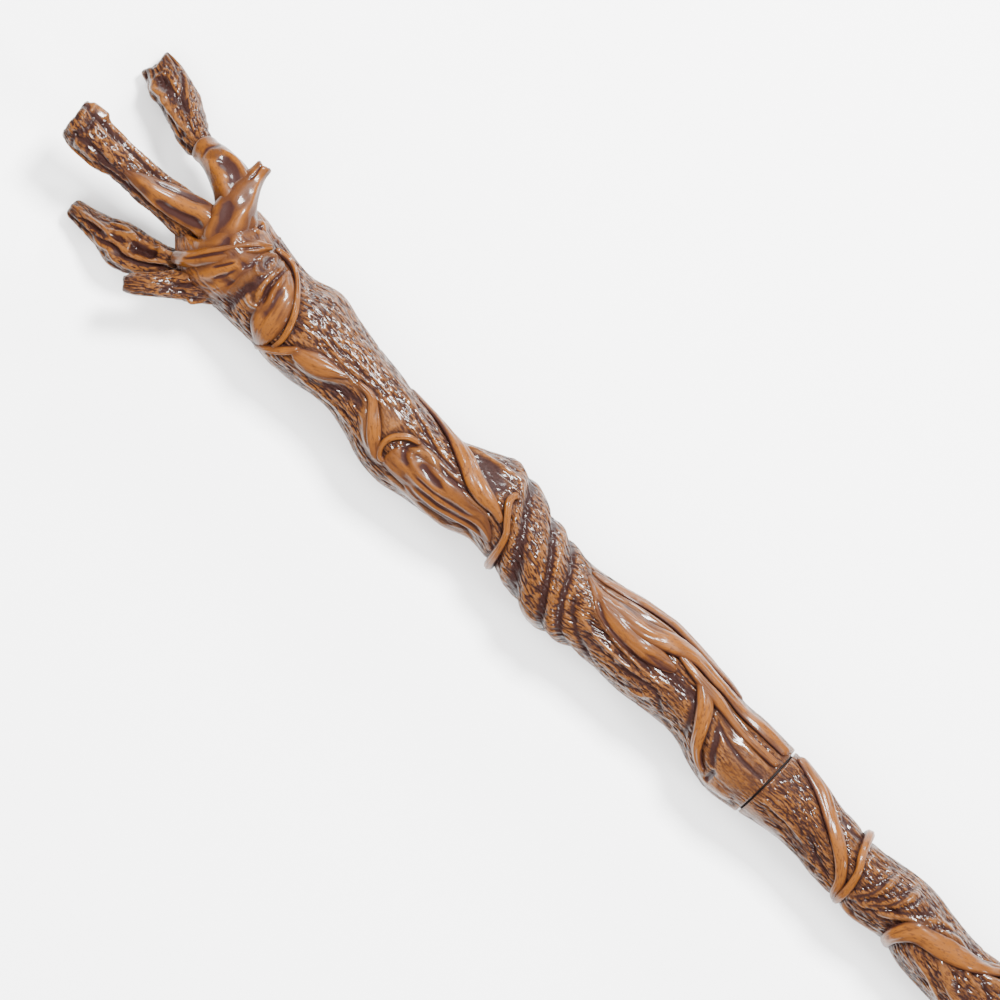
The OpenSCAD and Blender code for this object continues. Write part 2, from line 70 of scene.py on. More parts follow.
MM = 0.001
TURN = next(joint for joint in frame["joints"] if joint["name"] == "unscrew_turn")
SEAM = np.array(TURN["pos_m"])          # where the wand's axis crosses the seam


def reach_of(node):
    """How far a CAD node runs along the axis, in millimetres from the seam."""
    low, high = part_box(node)
    return (low.x - SEAM[0]) / MM, (high.x - SEAM[0]) / MM


SEAM_FACE = reach_of("shaft_trunk")[0]
SHAFT_LEN = reach_of("shaft_trunk")[1]
HANDLE_LEN = -reach_of("handle_trunk")[0]
CROWN_LEN = reach_of("crown_knot")[1] - SHAFT_LEN
BUTT_LEN = -reach_of("butt_burl")[0] - HANDLE_LEN
GRIP_R = 9.6                            # radius of the castings at the seam
CROWN_R = 12.0
SPREAD = 19.5                           # how far the outer prongs stand from the axis
REACH = 50.5                            # how far the longest prong passes the crown's seat
LOBE = 0.03                             # how deep the castings' slow swells are, in radii
TANG_R = 5.5                            # the stud's plain tang
SOCKET_R = 6.0
PLUG_R = 6.0
SOCKET_END = -24.25                     # where the socket ends in the handle
THREAD_PITCH = 1.25

# ---------------------------------------------------------------- camera, light and floor

VIEW_WIDTH = 0.225
VIEW_HEIGHT = 1.6
VIEW_CENTRE = (SEAM[0] + 0.087, -0.0033)
VIEW_ROLL = math.radians(-135.5)
SENSOR_WIDTH = 36
SOFTBOX_AWAY = 0.9                      # from the shaft's middle to each softbox, in metres
FLOOR_Z = -0.0005


def add_camera():
    """A long lens that looks straight down on the shaft, rolled so that the prongs point up and left."""
    bpy.ops.object.camera_add(location=(*VIEW_CENTRE, VIEW_HEIGHT), rotation=(0, 0, VIEW_ROLL))
    camera = bpy.context.object
    camera.name = "camera"
    camera.data.sensor_width = SENSOR_WIDTH
    camera.data.lens = SENSOR_WIDTH * (VIEW_HEIGHT - SEAM[2]) / VIEW_WIDTH
    camera.data.clip_start = 0.01
    bpy.context.scene.camera = camera


def add_softbox(name, azimuth, elevation, size, power, mirrored=True):
    """A square softbox turned towards the shaft's middle. Unless mirrored, it leaves no highlight."""
    target = Vector((*VIEW_CENTRE, SEAM[2]))
    turn, rise = math.radians(azimuth), math.radians(elevation)
    away = Vector((math.cos(turn) * math.cos(rise), math.sin(turn) * math.cos(rise), math.sin(rise)))
    bpy.ops.object.light_add(type="AREA", location=target + away * SOFTBOX_AWAY)
    light = bpy.context.object
    light.name = name
    light.rotation_euler = away.to_track_quat("Z", "Y").to_euler()
    light.data.shape = "SQUARE"
    light.data.size = size
    light.data.energy = power
    light.visible_glossy = mirrored


def add_world():
    """An even pale room."""
    world = bpy.data.worlds.new("room")
    world.use_nodes = True
    background = world.node_tree.nodes["Background"]
    background.inputs["Color"].default_value = (1, 1, 1, 1)
    background.inputs["Strength"].default_value = 0.25
    bpy.context.scene.world = world


def add_floor():
    """A plain pale floor, just under the wand."""
    bpy.ops.mesh.primitive_plane_add(size=6, location=(0, 0, FLOOR_Z))
    floor = bpy.context.object
    floor.name = "floor"
    paint = bpy.data.materials.new("pale_floor")
    paint.use_nodes = True
    shader = paint.node_tree.nodes["Principled BSDF"]
    shader.inputs["Base Color"].default_value = (0.95, 0.95, 0.95, 1)
    shader.inputs["Roughness"].default_value = 0.8
    floor.data.materials.append(paint)


add_camera()
add_world()
add_floor()
add_softbox("key", -84, 56, 0.19, 35.0)
add_softbox("low_strip", -74, 22, 0.16, 9.0)
add_softbox("end", -170, 40, 0.16, 6.0)
add_softbox("fill", 95, 40, 0.8, 13.0, mirrored=False)
add_softbox("top", 20, 80, 0.9, 19.0, mirrored=False)

# ---------------------------------------------------------------- curves and noise


def blend(a, b, c, d, t):
    """The smooth curve through b and c, with a and d as its neighbours."""
    return b + 0.5 * t * ((c - a) + t * (2 * a - 5 * b + 4 * c - d + t * (3 * (b - c) + d - a)))


def through(rows, share):
    """A smooth curve through rows whose first value is the share along it."""
    rows = np.array(rows, float)
    share = np.clip(np.asarray(share, float), rows[0, 0], rows[-1, 0])
    i = np.clip(np.searchsorted(rows[:, 0], share, "right") - 1, 0, len(rows) - 2)
    t = ((share - rows[i, 0]) / (rows[i + 1, 0] - rows[i, 0]))[..., None]
    before, after = np.maximum(i - 1, 0), np.minimum(i + 2, len(rows) - 1)
    return blend(rows[before], rows[i], rows[i + 1], rows[after], t)[..., 1:]


def along(rows, share):
    """The same through rows that are evenly spaced."""
    rows = np.array(rows, float)
    place = np.clip(np.asarray(share, float), 0, 1) * (len(rows) - 1)
    i = np.clip(place.astype(int), 0, len(rows) - 2)
    t = (place - i)[..., None]
    before, after = np.maximum(i - 1, 0), np.minimum(i + 2, len(rows) - 1)
    return blend(rows[before], rows[i], rows[i + 1], rows[after], t)


def smooth_step(low, high, value):
    """0 below low, 1 above high and a soft ramp between."""
    t = np.clip((value - low) / (high - low), 0, 1)
    return t * t * (3 - 2 * t)


HASH_PRIMES = np.array((374761393, 668265263, 1440662683))


def noise(x, y, z, seed=0):
    """Smooth noise from about -1 to 1, the same on every run."""
    place = np.stack(np.broadcast_arrays(x, y, z), -1).astype(float)
    cell = np.floor(place).astype(np.int64)
    part = place - cell
    fade = part ** 3 * (part * (part * 6 - 15) + 10)
    total = np.zeros(place.shape[:-1])
    for corner in itertools.product((0, 1), repeat=3):
        c = cell + corner
        h = (c @ HASH_PRIMES + seed * 974634777) & 0xFFFFFFFF
        h = ((h ^ (h >> 13)) * 1274126177) & 0xFFFFFFFF
        h ^= h >> 16
        slope = np.stack([h & 1023, (h >> 10) & 1023, (h >> 20) & 1023], -1) / 511.5 - 1
        weight = np.prod(np.where(corner, fade, 1 - fade), axis=-1)
        total += weight * np.sum(slope * (part - corner), axis=-1)
    return total * 1.5


def spread(field, rings, columns):
    """Averages a field over its neighbours, a few rings each way and right round the columns."""
    for axis, reach, mode in ((0, rings, "edge"), (1, columns, "wrap")):
        pad = [(0, 0), (0, 0)]
        pad[axis] = (reach + 1, reach)
        total = np.cumsum(np.pad(field, pad, mode=mode), axis=axis)
        ahead = np.take(total, range(2 * reach + 1, total.shape[axis]), axis)
        behind = np.take(total, range(0, total.shape[axis] - 2 * reach - 1), axis)
        field = (ahead - behind) / (2 * reach + 1)
    return field


# ---------------------------------------------------------------- carving on unrolled skin


class Stroke:
    """One mark of the carver's tool along a route on the skin.

    kind is ridge, rope, groove, step or smooth. Width and height are in millimetres, and
    polish is how far to each side the bark is rubbed smooth.
    """

    def __init__(self, kind, route, width, height, polish=0.0, widths=None):
        self.kind, self.route, self.width, self.height, self.polish = kind, route, width, height, polish
        self.widths = widths            # a bed's half widths along its route


def across(route, x, s):
    """How far each place is from a route, which side it is on and the share along the route."""
    best = np.full(x.shape, 1e9)
    side = np.zeros(x.shape)
    share = np.zeros(x.shape)
    for k, (a, b) in enumerate(zip(route[:-1], route[1:])):
        run = b - a
        t = np.clip(((x - a[0]) * run[0] + (s - a[1]) * run[1]) / (run @ run), 0, 1)
        dx, ds = x - a[0] - t * run[0], s - a[1] - t * run[1]
        away = np.hypot(dx, ds)
        nearer = away < best
        best = np.where(nearer, away, best)
        side = np.where(nearer, np.sign(run[0] * ds - run[1] * dx), side)
        share = np.where(nearer, (k + t) / (len(route) - 1), share)
    return best, side, share


def carve(strokes, x, a, radius):
    """The height that strokes give to places on a skin, the bark they leave and the wash they gather."""
    height = np.zeros(x.shape)
    bark = np.ones(x.shape)
    stain = np.zeros(x.shape)
    for stroke in strokes:
        route = along(stroke.route, np.linspace(0, 1, 4 * len(stroke.route)))
        middle = route[:, 1].mean()
        turned = (middle + (a - middle + 180) % 360 - 180) * math.pi / 180 * radius
        route = np.stack([route[:, 0], route[:, 1] * math.pi / 180 * radius], -1)
        room = 3 * max(stroke.width, stroke.polish) + (6 if stroke.kind == "step" else 0)
        near = (x > route[:, 0].min() - room) & (x < route[:, 0].max() + room)
        near &= (turned > route[:, 1].min() - room) & (turned < route[:, 1].max() + room)
        if not near.any():
            continue
        away, side, share = across(route, x[near], turned[near])
        taper = np.clip(4 * np.minimum(share, 1 - share) + 0.12, 0, 1) ** 0.7
        width = stroke.width * (0.45 + 0.55 * taper)
        if stroke.kind == "bed":
            edge = np.interp(share, np.linspace(0, 1, len(stroke.widths)), stroke.widths)
            lift = np.exp(-((np.maximum(away - edge, 0) / 0.75) ** 2))
        elif stroke.kind == "rope":
            lift = np.sqrt(np.clip(1 - (away / width) ** 2, 0, 1))
            lift -= 0.25 * np.exp(-(((away - width) / 0.5) ** 2))
        elif stroke.kind == "step":
            lift = np.where(side > 0, np.exp(-away / (2.2 * width)), np.exp(-((away / 0.45) ** 2)))
        else:
            lift = np.exp(-((away / width) ** 2))
        height[near] += stroke.height * taper * lift * (stroke.kind != "smooth")
        if stroke.height < 0 and stroke.kind == "groove":
            stain[near] = np.maximum(stain[near], min(1, -1.3 * stroke.height) * taper * lift)
        if stroke.polish:
            bark[near] *= 1 - np.exp(-((away / stroke.polish) ** 4)) * taper
            bark[near] = np.clip(bark[near], 0, 1)
    return height, bark, stain


def bark_grooves(x, y, z, seed):
    """Broken dashes, a few long grooves and slow swells of bark, along and across its fibres."""
    wander = 0.35 * noise(x * 0.11, y * 0.25, z * 0.25, seed)
    long_groove = np.abs(noise(x * 0.1, y * 0.62 + wander, z * 0.62, seed + 1))
    broken = smooth_step(-0.15, 0.2, noise(x * 0.3, y * 0.8, z * 0.8, seed + 5))
    dash = noise(x * 0.38, y * 1.85 + wander, z * 1.85 + wander, seed + 2)
    short_dash = noise(x * 0.66, y * 2.6 + wander, z * 2.6 + wander, seed + 3)
    deep = (1 - smooth_step(0.0, 0.13, long_groove)) * broken
    swell = noise(x * 0.08, y * 0.2, z * 0.2, seed + 4)
    dashes = 0.27 * smooth_step(0.1, 0.36, dash) + 0.15 * smooth_step(0.12, 0.4, short_dash)
    return 0.3 * swell - 0.34 * deep - dashes


# ---------------------------------------------------------------- pieces


PIECES = []
MERGE_WITHIN = 0.000002                 # vertices nearer than this are sewn together, in metres
CREASE_SHADE_REACH = 0.9 * MM                 # how far the painted shade spreads from where two pieces meet


def close_mesh():
    """Sews and caps the mesh in edit mode, turns its faces outwards and leaves edit mode."""
    bpy.ops.mesh.select_all(action="SELECT")
    bpy.ops.mesh.remove_doubles(threshold=MERGE_WITHIN)
    bpy.ops.mesh.select_all(action="DESELECT")
    bpy.ops.mesh.select_non_manifold()
    bpy.ops.mesh.fill_holes(sides=0)
    bpy.ops.mesh.select_all(action="SELECT")
    bpy.ops.mesh.normals_make_consistent(inside=False)
    bpy.ops.object.mode_set(mode="OBJECT")


def hand_over(piece, name, body, slot):
    """Gives a piece its finish, the body that carries it and the CAD node that it replaces."""
    piece.data.materials.append(FINISHES[slot])
    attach(piece, body)
    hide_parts(name)


def rolled(name, places, relief, bark, stain, fibres, body, slot, cell):
    """A closed piece from rings of places: a grid is laid out, rolled up, sewn along its edge and capped.

    places is rings by columns by 3, in millimetres about the axis. relief is the carved height,
    bark is 1 where the bark is rough, and fibres are coordinates along and across the grain.
    cell is the size of the grid's cells along and around, in millimetres.
    """
    rings, columns = places.shape[:2]
    bpy.ops.object.select_all(action="DESELECT")
    bpy.ops.mesh.primitive_grid_add(x_subdivisions=rings - 1, y_subdivisions=columns, size=1)
    piece = bpy.context.object
    piece.name = name
    piece.data.name = name

    def laid(field):
        """A ring-by-column field in the grid's own order, with its first column repeated."""
        return np.concatenate([field, field[:, :1]], 1).swapaxes(0, 1).ravel()

    def sunk(length, breadth):
        """How far the skin lies below the mean of its surroundings."""
        return spread(relief, max(1, round(length / cell[0])), max(1, round(breadth / cell[1]))) - relief

    piece.data.vertices.foreach_set("co", laid(places * MM + SEAM))
    hollow = 1.9 * sunk(0.8, 0.55) + 1.1 * sunk(3, 2.4) + 0.42 * stain
    for field, kind, key, values in (("hollow", "FLOAT", "value", hollow), ("bark", "FLOAT", "value", bark),
                                     ("fibre", "FLOAT_VECTOR", "vector", fibres)):
        layer = piece.data.attributes.new(field, kind, "POINT")
        layer.data.foreach_set(key, laid(values).astype(np.float32))
    bpy.ops.object.mode_set(mode="EDIT")
    close_mesh()
    bpy.ops.object.shade_smooth()
    hand_over(piece, name, body, slot)
    PIECES.append(piece)
    return piece


def shade_creases():
    """Gives each piece a field of painted shade, 1 where another piece of its body meets it and fading out
    beyond.
    """
    trees, skins = {}, {}
    for piece in PIECES:
        places = np.zeros(len(piece.data.vertices) * 3)
        piece.data.vertices.foreach_get("co", places)
        skins[piece.name] = places.reshape(-1, 3)
        faces = [tuple(face.vertices) for face in piece.data.polygons]
        trees[piece.name] = BVHTree.FromPolygons(skins[piece.name].tolist(), faces)
    room = 2 * CREASE_SHADE_REACH
    for piece in PIECES:
        places = skins[piece.name]
        crease_shade = np.zeros(len(places))
        for other in PIECES:
            if other == piece or other["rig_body"] != piece["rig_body"]:
                continue
            low, high = skins[other.name].min(0), skins[other.name].max(0)
            inside = np.all((places > low - room) & (places < high + room), axis=1)
            for index in np.nonzero(inside)[0]:
                away = trees[other.name].find_nearest(places[index], room)[3]
                if away is not None:
                    crease_shade[index] = max(crease_shade[index], math.exp(-((away / CREASE_SHADE_REACH) ** 2)))
        # this field is painted shade: it darkens the colour where pieces meet
        layer = piece.data.attributes.new("crease_shade", "FLOAT", "POINT")
        layer.data.foreach_set("value", crease_shade.astype(np.float32))


# ---------------------------------------------------------------- finishes


FLOAT, COLOR, VECTOR = "NodeSocketFloat", "NodeSocketColor", "NodeSocketVector"
PORE_EDGE = 0.022                       # how soft the rim of a pore is, in shares of the noise


def new_material(name):
    """A new material, its nodes and its shader."""
    material = bpy.data.materials.new(name)
    material.use_nodes = True
    tree = material.node_tree
    return material, tree, tree.nodes["Principled BSDF"]


def feed(node, sockets):
    """Sets a node's input sockets to values, or links them to other nodes' outputs."""
    for key, value in sockets.items():
        if isinstance(value, bpy.types.NodeSocket):
            node.id_data.links.new(value, node.inputs[key])
        else:
            node.inputs[key].default_value = value


def add_node(tree, kind, sockets=(), **settings):
    """A node with its own settings, and with its input sockets fed."""
    node = tree.nodes.new(kind)
    for key, value in settings.items():
        setattr(node, key, value)
    feed(node, dict(sockets))
    return node


def compute(tree, operation, *values):
    """The result of a maths node."""
    return add_node(tree, "ShaderNodeMath", enumerate(values), operation=operation).outputs[0]


def mapped(tree, value, ends, interpolation="LINEAR"):
    """A value mapped from one range to another."""
    node = add_node(tree, "ShaderNodeMapRange", {"Value": value, **ends}, interpolation_type=interpolation)
    return node.outputs["Result"]


def mixed(tree, factor, first, second):
    """Two colours mixed by a factor."""
    sockets = {"Factor": factor, 6: first, 7: second}
    return add_node(tree, "ShaderNodeMix", sockets, data_type="RGBA").outputs[2]


def noise_texture(tree, place, **sockets):
    return add_node(tree, "ShaderNodeTexNoise", {"Vector": place, **sockets}).outputs["Fac"]


def object_place(tree):
    return add_node(tree, "ShaderNodeTexCoord").outputs["Object"]


def bumped(tree, height, strength, distance):
    """The normal of a surface with a fine relief."""
    sockets = {"Height": height, "Strength": strength, "Distance": distance}
    return add_node(tree, "ShaderNodeBump", sockets).outputs["Normal"]


def new_group(name, inputs, outputs):
    """An empty shader group with named sockets, what it is given and the node that takes its results."""
    group = bpy.data.node_groups.new(name, "ShaderNodeTree")
    for direction, sockets in (("INPUT", inputs), ("OUTPUT", outputs)):
        for socket, kind in sockets.items():
            group.interface.new_socket(socket, in_out=direction, socket_type=kind)
    return group, group.nodes.new("NodeGroupInput").outputs, group.nodes.new("NodeGroupOutput")


def make_grain_group():
    """Fine grain along the fibres: a height, and a mask of dark pores."""
    inputs = {"Fibre": VECTOR, "Pore Length": FLOAT, "Pore Pitch": FLOAT, "Pore Share": FLOAT}
    group, given, out = new_group("fine grain", inputs, {"Height": FLOAT, "Pores": FLOAT})
    pitch, share = given["Pore Pitch"], given["Pore Share"]
    stretch = add_node(group, "ShaderNodeCombineXYZ", {"X": given["Pore Length"], "Y": pitch, "Z": pitch})
    scaled = add_node(group, "ShaderNodeVectorMath", {0: given["Fibre"], 1: stretch.outputs["Vector"]},
                      operation="MULTIPLY").outputs["Vector"]
    coarse = noise_texture(group, scaled, Scale=1.0, Detail=2.0, Roughness=0.55, Distortion=0.15)
    fine = noise_texture(group, scaled, Scale=2.7, Detail=2.0, Roughness=0.5)
    edges = {"From Min": share, "From Max": compute(group, "ADD", share, PORE_EDGE)}
    pores = mapped(group, coarse, edges, "SMOOTHSTEP")
    feed(out, {"Height": compute(group, "MULTIPLY_ADD", pores, -1.0, fine), "Pores": pores})
    return group


def make_wash_group():
    """Dark wash that settles in hollows and pores, plus painted shade where pieces meet, over paint that is
    rubbed bright on ridges.
    """
    inputs = {"Rubbed": COLOR, "Paint": COLOR, "Wash": COLOR, "Hollow": FLOAT, "Crease Shade": FLOAT,
              "Pores": FLOAT, "Pore Strength": FLOAT, "Clouds": FLOAT}
    group, given, out = new_group("settled wash", inputs, {"Color": COLOR, "Roughness": FLOAT})
    cloud = noise_texture(group, object_place(group), Scale=110.0, Detail=3.0, Roughness=0.6)
    uneven = compute(group, "MULTIPLY", compute(group, "SUBTRACT", cloud, 0.5), given["Clouds"])
    depth = compute(group, "ADD", given["Hollow"], uneven)
    rubbed = mapped(group, depth, {"From Min": 0.12, "From Max": -0.35}, "SMOOTHSTEP")
    paint = mixed(group, rubbed, given["Paint"], given["Rubbed"])
    settled = mapped(group, depth, {"From Min": 0.02, "From Max": 0.5}, "SMOOTHSTEP")
    pores = compute(group, "MULTIPLY", given["Pores"], given["Pore Strength"])
    # painted shade where pieces meet, mixed into the dark share of the colour
    crease_shade_dark = compute(group, "MULTIPLY", given["Crease Shade"], 0.6)
    dark = compute(group, "MAXIMUM", compute(group, "MAXIMUM", settled, pores), crease_shade_dark)
    feed(out, {"Color": mixed(group, dark, paint, given["Wash"]),
               "Roughness": mapped(group, dark, {"To Min": 0.32, "To Max": 0.55})})
    return group


GRAIN = make_grain_group()
WASH = make_wash_group()


def make_resin(name, rubbed, paint, wash, pore_length, pore_pitch, pore_share, pore_strength, clouds, bump,
               varnish):
    """Painted resin under gloss varnish, with grain along its fibres."""
    material, tree, shader = new_material(name)
    # the crease field read here is painted shade where pieces meet
    read = {field: add_node(tree, "ShaderNodeAttribute", attribute_name=field).outputs
            for field in ("fibre", "hollow", "bark", "crease_shade")}
    bark = read["bark"]["Fac"]
    grain = add_node(tree, "ShaderNodeGroup", node_tree=GRAIN)
    feed(grain, {"Fibre": read["fibre"]["Vector"], "Pore Length": pore_length, "Pore Pitch": pore_pitch,
                 "Pore Share": pore_share})
    rough = mapped(tree, bark, {"To Min": 0.5})
    stain = add_node(tree, "ShaderNodeGroup", node_tree=WASH)
    feed(stain, {"Rubbed": rubbed, "Paint": paint, "Wash": wash, "Pore Strength": pore_strength,
                 "Clouds": clouds, "Hollow": read["hollow"]["Fac"], "Crease Shade": read["crease_shade"]["Fac"],
                 "Pores": compute(tree, "MULTIPLY", grain.outputs["Pores"], rough)})
    height = compute(tree, "MULTIPLY", grain.outputs["Height"], rough)
    feed(shader, {"Base Color": stain.outputs["Color"], "Roughness": stain.outputs["Roughness"],
                  "Normal": bumped(tree, height, bump, 0.0002),
                  "Coat Weight": mapped(tree, bark, {"To Min": varnish, "To Max": 0.75 * varnish}),
                  "Coat IOR": 1.33, "Coat Roughness": 0.11, "Specular IOR Level": 0.08})
    return material


def make_metal(name, color, worn, roughness):
    """Machined metal with fine turning marks and duller patches."""
    material, tree, shader = new_material(name)
    where = object_place(tree)
    stretch = add_node(tree, "ShaderNodeMapping", {"Vector": where, "Scale": (9000, 300, 300)})
    marks = noise_texture(tree, stretch.outputs["Vector"], Scale=1.0, Detail=2.0)
    patches = noise_texture(tree, where, Scale=220.0, Detail=4.0)
    feed(shader, {"Base Color": mixed(tree, patches, color, worn), "Metallic": 1.0,
                  "Roughness": mapped(tree, patches, {"To Min": roughness, "To Max": roughness + 0.2}),
                  "Normal": bumped(tree, marks, 0.25, 0.00002)})
    return material


def make_rubber():
    """Black rubber with a fine moulded stipple."""
    material, tree, shader = new_material("black_rubber")
    stipple = noise_texture(tree, object_place(tree), Scale=2500.0, Detail=2.0)
    feed(shader, {"Base Color": mixed(tree, stipple, (0.004, 0.0035, 0.0035, 1), (0.009, 0.008, 0.008, 1)),
                  "Normal": bumped(tree, stipple, 0.3, 0.00003), "Roughness": 0.7,
                  "Specular IOR Level": 0.15})
    return material


def make_plug_resin():
    """Dark turned resin with fine lathe rings."""
    material, tree, shader = new_material("plug_resin")
    centred = add_node(tree, "ShaderNodeMapping", {
        "Vector": object_place(tree), "Location": (0, -SEAM[1], -SEAM[2]), "Scale": (0.02, 1, 1)})
    rings = add_node(tree, "ShaderNodeTexWave", {
        "Vector": centred.outputs["Vector"], "Scale": 900.0, "Distortion": 1.5},
        wave_type="RINGS", rings_direction="SPHERICAL").outputs["Fac"]
    feed(shader, {"Base Color": mixed(tree, rings, (0.05, 0.022, 0.012, 1), (0.16, 0.07, 0.032, 1)),
                  "Normal": bumped(tree, rings, 0.4, 0.00004),
                  "Roughness": mapped(tree, rings, {"To Min": 0.3, "To Max": 0.42}),
                  "Coat Weight": 0.4, "Coat Roughness": 0.2})
    return material


FINISHES = {
    "bark_resin": make_resin("bark_resin", (0.1, 0.0358, 0.0076, 1), (0.047, 0.0162, 0.0046, 1),
                             (0.0165, 0.0056, 0.0043, 1), pore_length=0.75, pore_pitch=3.0, pore_share=0.525,
                             pore_strength=1.0, clouds=1.6, bump=1.0, varnish=0.75),
    "root_resin": make_resin("root_resin", (0.11, 0.0365, 0.0056, 1), (0.058, 0.0194, 0.0044, 1),
                             (0.0185, 0.0062, 0.0047, 1), pore_length=0.8, pore_pitch=2.6, pore_share=0.575,
                             pore_strength=0.85, clouds=1.8, bump=0.3, varnish=0.42),
    "plug_resin": make_plug_resin(),
    "brass": make_metal("turned_brass", (0.83, 0.6, 0.28, 1), (0.6, 0.4, 0.16, 1), 0.2),
    "core_steel": make_metal("ground_steel", (0.62, 0.62, 0.64, 1), (0.45, 0.45, 0.47, 1), 0.25),
    "washer_rubber": make_rubber(),
}

# ---------------------------------------------------------------- trunks


def lobes(x, a):
    """The slow swells that make a casting gnarled. They are the CAD solid's own."""
    return 1 + LOBE * (np.sin(np.radians(3 * a + 5.1 * x)) + 0.7 * np.sin(np.radians(5 * a - 3.7 * x + 40)))


class Trunk:
    """A casting round the axis. Its outline's rows are the share from its seat, the offset of its
    centre and its half width and half height, in radii."""

    def __init__(self, outline, seat, end, radius, strokes, twist=None, seed=1):
        self.outline, self.seat, self.end, self.radius = outline, seat, end, radius
        self.strokes, self.twist, self.seed = strokes, twist, seed

    def section(self, x):
        share = (np.asarray(x, float) - self.seat) / (self.end - self.seat)
        return through(self.outline, share) * self.radius

    def angle_at(self, x, y):
        """The angle at which a place seen from above lies on the skin."""
        section = self.section(x)
        return math.degrees(math.asin(max(-1, min(1, (y - section[0]) / section[2]))))

    def place(self, x, a, lift=0.0):
        """A place on the skin at angle a from the top towards +Y."""
        section, k, turn = self.section(x), lobes(x, a), np.radians(a)
        y = section[..., 0] + (section[..., 2] * k + lift) * np.sin(turn)
        z = section[..., 1] + (section[..., 3] * k + lift) * np.cos(turn)
        return np.stack([x + 0 * a, y, z], -1)

    def carved(self, x, a):
        """The carved height of the skin, the bark left on it and the wash, without the bark's own grooves."""
        return carve(self.strokes, x, a, self.radius)

    def fibre_angle(self, x, a):
        """The angle with the bark's twist taken out, so that it stays the same along a fibre."""
        if not self.twist:
            return a + 0 * x
        start, stop, rate = self.twist
        return a + rate * (stop - start) * smooth_step(start - 4, stop + 4, x)

    def skin(self, x, a, bark_scale=1.0):
        """The relief of the finished skin, its bark, wash and fibres."""
        height, bark, stain = self.carved(x, a)
        fibres = self.fibres(x, a)
        grooves = bark_grooves(fibres[..., 0], fibres[..., 1], fibres[..., 2], self.seed) * bark_scale
        plain = 0.05 * noise(fibres[..., 0] * 0.25, fibres[..., 1] * 0.6, fibres[..., 2] * 0.6, self.seed + 8)
        return height + grooves * (0.08 + 0.92 * bark) + plain, bark, stain, fibres

    def fibres(self, x, a):
        turned = np.radians(self.fibre_angle(x, a))
        return np.stack([x + 0 * a, self.radius * np.cos(turned), self.radius * np.sin(turned)], -1)


def top(trunk, points):
    """A route on a trunk's skin from places seen from above, in millimetres from the seam and the axis."""
    return [(x, trunk.angle_at(x, y)) for x, y in points]


def scatter(seed, count, x_range, a_range):
    """Ridges and grooves on a side that the named strokes leave plain."""
    dice = np.random.default_rng(seed)
    made = []
    for _ in range(count):
        x, a = dice.uniform(*x_range), dice.uniform(*a_range)
        run, lean = dice.uniform(12, 26), dice.uniform(-2.2, 2.2)
        route = [(x + run * t, a + lean * run * t + 9 * math.sin(5 * t + a)) for t in (0, 0.33, 0.66, 1)]
        sunk = dice.random() < 0.4
        width = dice.uniform(0.7, 1.7)
        height = -dice.uniform(0.35, 0.7) if sunk else dice.uniform(0.35, 0.8)
        made.append(Stroke("groove" if sunk else "ridge", route, width, height, 0 if sunk else width * 0.8))
    return made


# ---------------------------------------------------------------- outlines of the castings

SHAFT_OUTLINE = [
    (0, 0, 0, 1.00, 0.98), (0.05, 0.03, 0, 1.07, 1.00), (0.09, 0, 0.02, 0.98, 0.96),
    (0.135, -0.17, 0.04, 0.90, 0.94), (0.18, -0.19, 0.03, 0.94, 0.96), (0.235, -0.15, 0, 1.03, 1.00),
    (0.28, -0.09, -0.02, 1.00, 1.02), (0.32, 0.01, -0.03, 0.94, 0.98), (0.37, 0.21, -0.02, 0.97, 0.96),
    (0.41, 0.19, 0, 0.95, 0.97), (0.45, 0.06, 0.02, 0.92, 1.00), (0.49, -0.07, 0.02, 0.97, 1.00),
    (0.525, -0.23, 0, 1.02, 0.98), (0.56, -0.12, -0.02, 1.11, 1.00), (0.59, 0.04, -0.03, 1.04, 1.02),
    (0.63, 0.22, -0.02, 0.95, 1.00), (0.67, 0.31, 0, 1.02, 0.98), (0.71, 0.27, 0.02, 1.02, 0.98),
    (0.75, 0.12, 0.02, 0.95, 0.97), (0.79, 0.03, 0.01, 0.92, 0.96), (0.84, 0.03, 0, 1.04, 1.00),
    (0.885, 0.02, -0.02, 1.16, 1.05), (0.925, 0.09, -0.02, 1.05, 1.04), (0.965, 0.06, 0, 1.07, 1.06),
    (1, 0, 0, 1.12, 1.10)]
HANDLE_OUTLINE = [
    (0, 0, 0, 0.97, 0.98), (0.04, -0.05, 0, 0.92, 0.95), (0.085, -0.08, 0.01, 0.84, 0.92),
    (0.13, -0.03, 0.02, 0.77, 0.90), (0.165, 0, 0.02, 0.79, 0.88), (0.20, 0.02, 0, 0.78, 0.88),
    (0.235, 0.03, -0.01, 0.79, 0.88), (0.27, 0.01, -0.02, 0.85, 0.90), (0.31, -0.08, -0.02, 0.86, 0.93),
    (0.345, -0.12, -0.01, 0.84, 0.93), (0.40, 0, 0, 0.87, 0.92), (0.48, 0.10, 0.02, 0.86, 0.88),
    (0.56, 0.04, 0.03, 0.92, 0.90), (0.64, -0.08, 0, 0.90, 0.94), (0.72, -0.10, -0.03, 0.84, 0.92),
    (0.80, 0, -0.02, 0.86, 0.88), (0.88, 0.06, 0, 0.92, 0.90), (0.95, 0.03, 0, 0.94, 0.96), (1, 0, 0, 1, 1)]
CROWN_OUTLINE = [
    (0, 0, 0, 0.88, 0.88), (0.20, 0, -0.02, 0.97, 0.98), (0.45, 0.02, 0, 1.00, 0.92),
    (0.70, 0.06, 0.04, 0.84, 0.70), (0.88, 0.06, 0.06, 0.56, 0.46), (1, 0.04, 0.08, 0.20, 0.18)]
BUTT_OUTLINE = [
    (0, 0, 0, 0.80, 0.80), (0.18, 0.03, 0.01, 0.90, 0.92), (0.45, 0.04, -0.01, 0.98, 0.99),
    (0.70, 0, 0, 0.92, 0.95), (0.88, -0.02, 0, 0.78, 0.80), (1, 0, 0, 0.62, 0.62)]

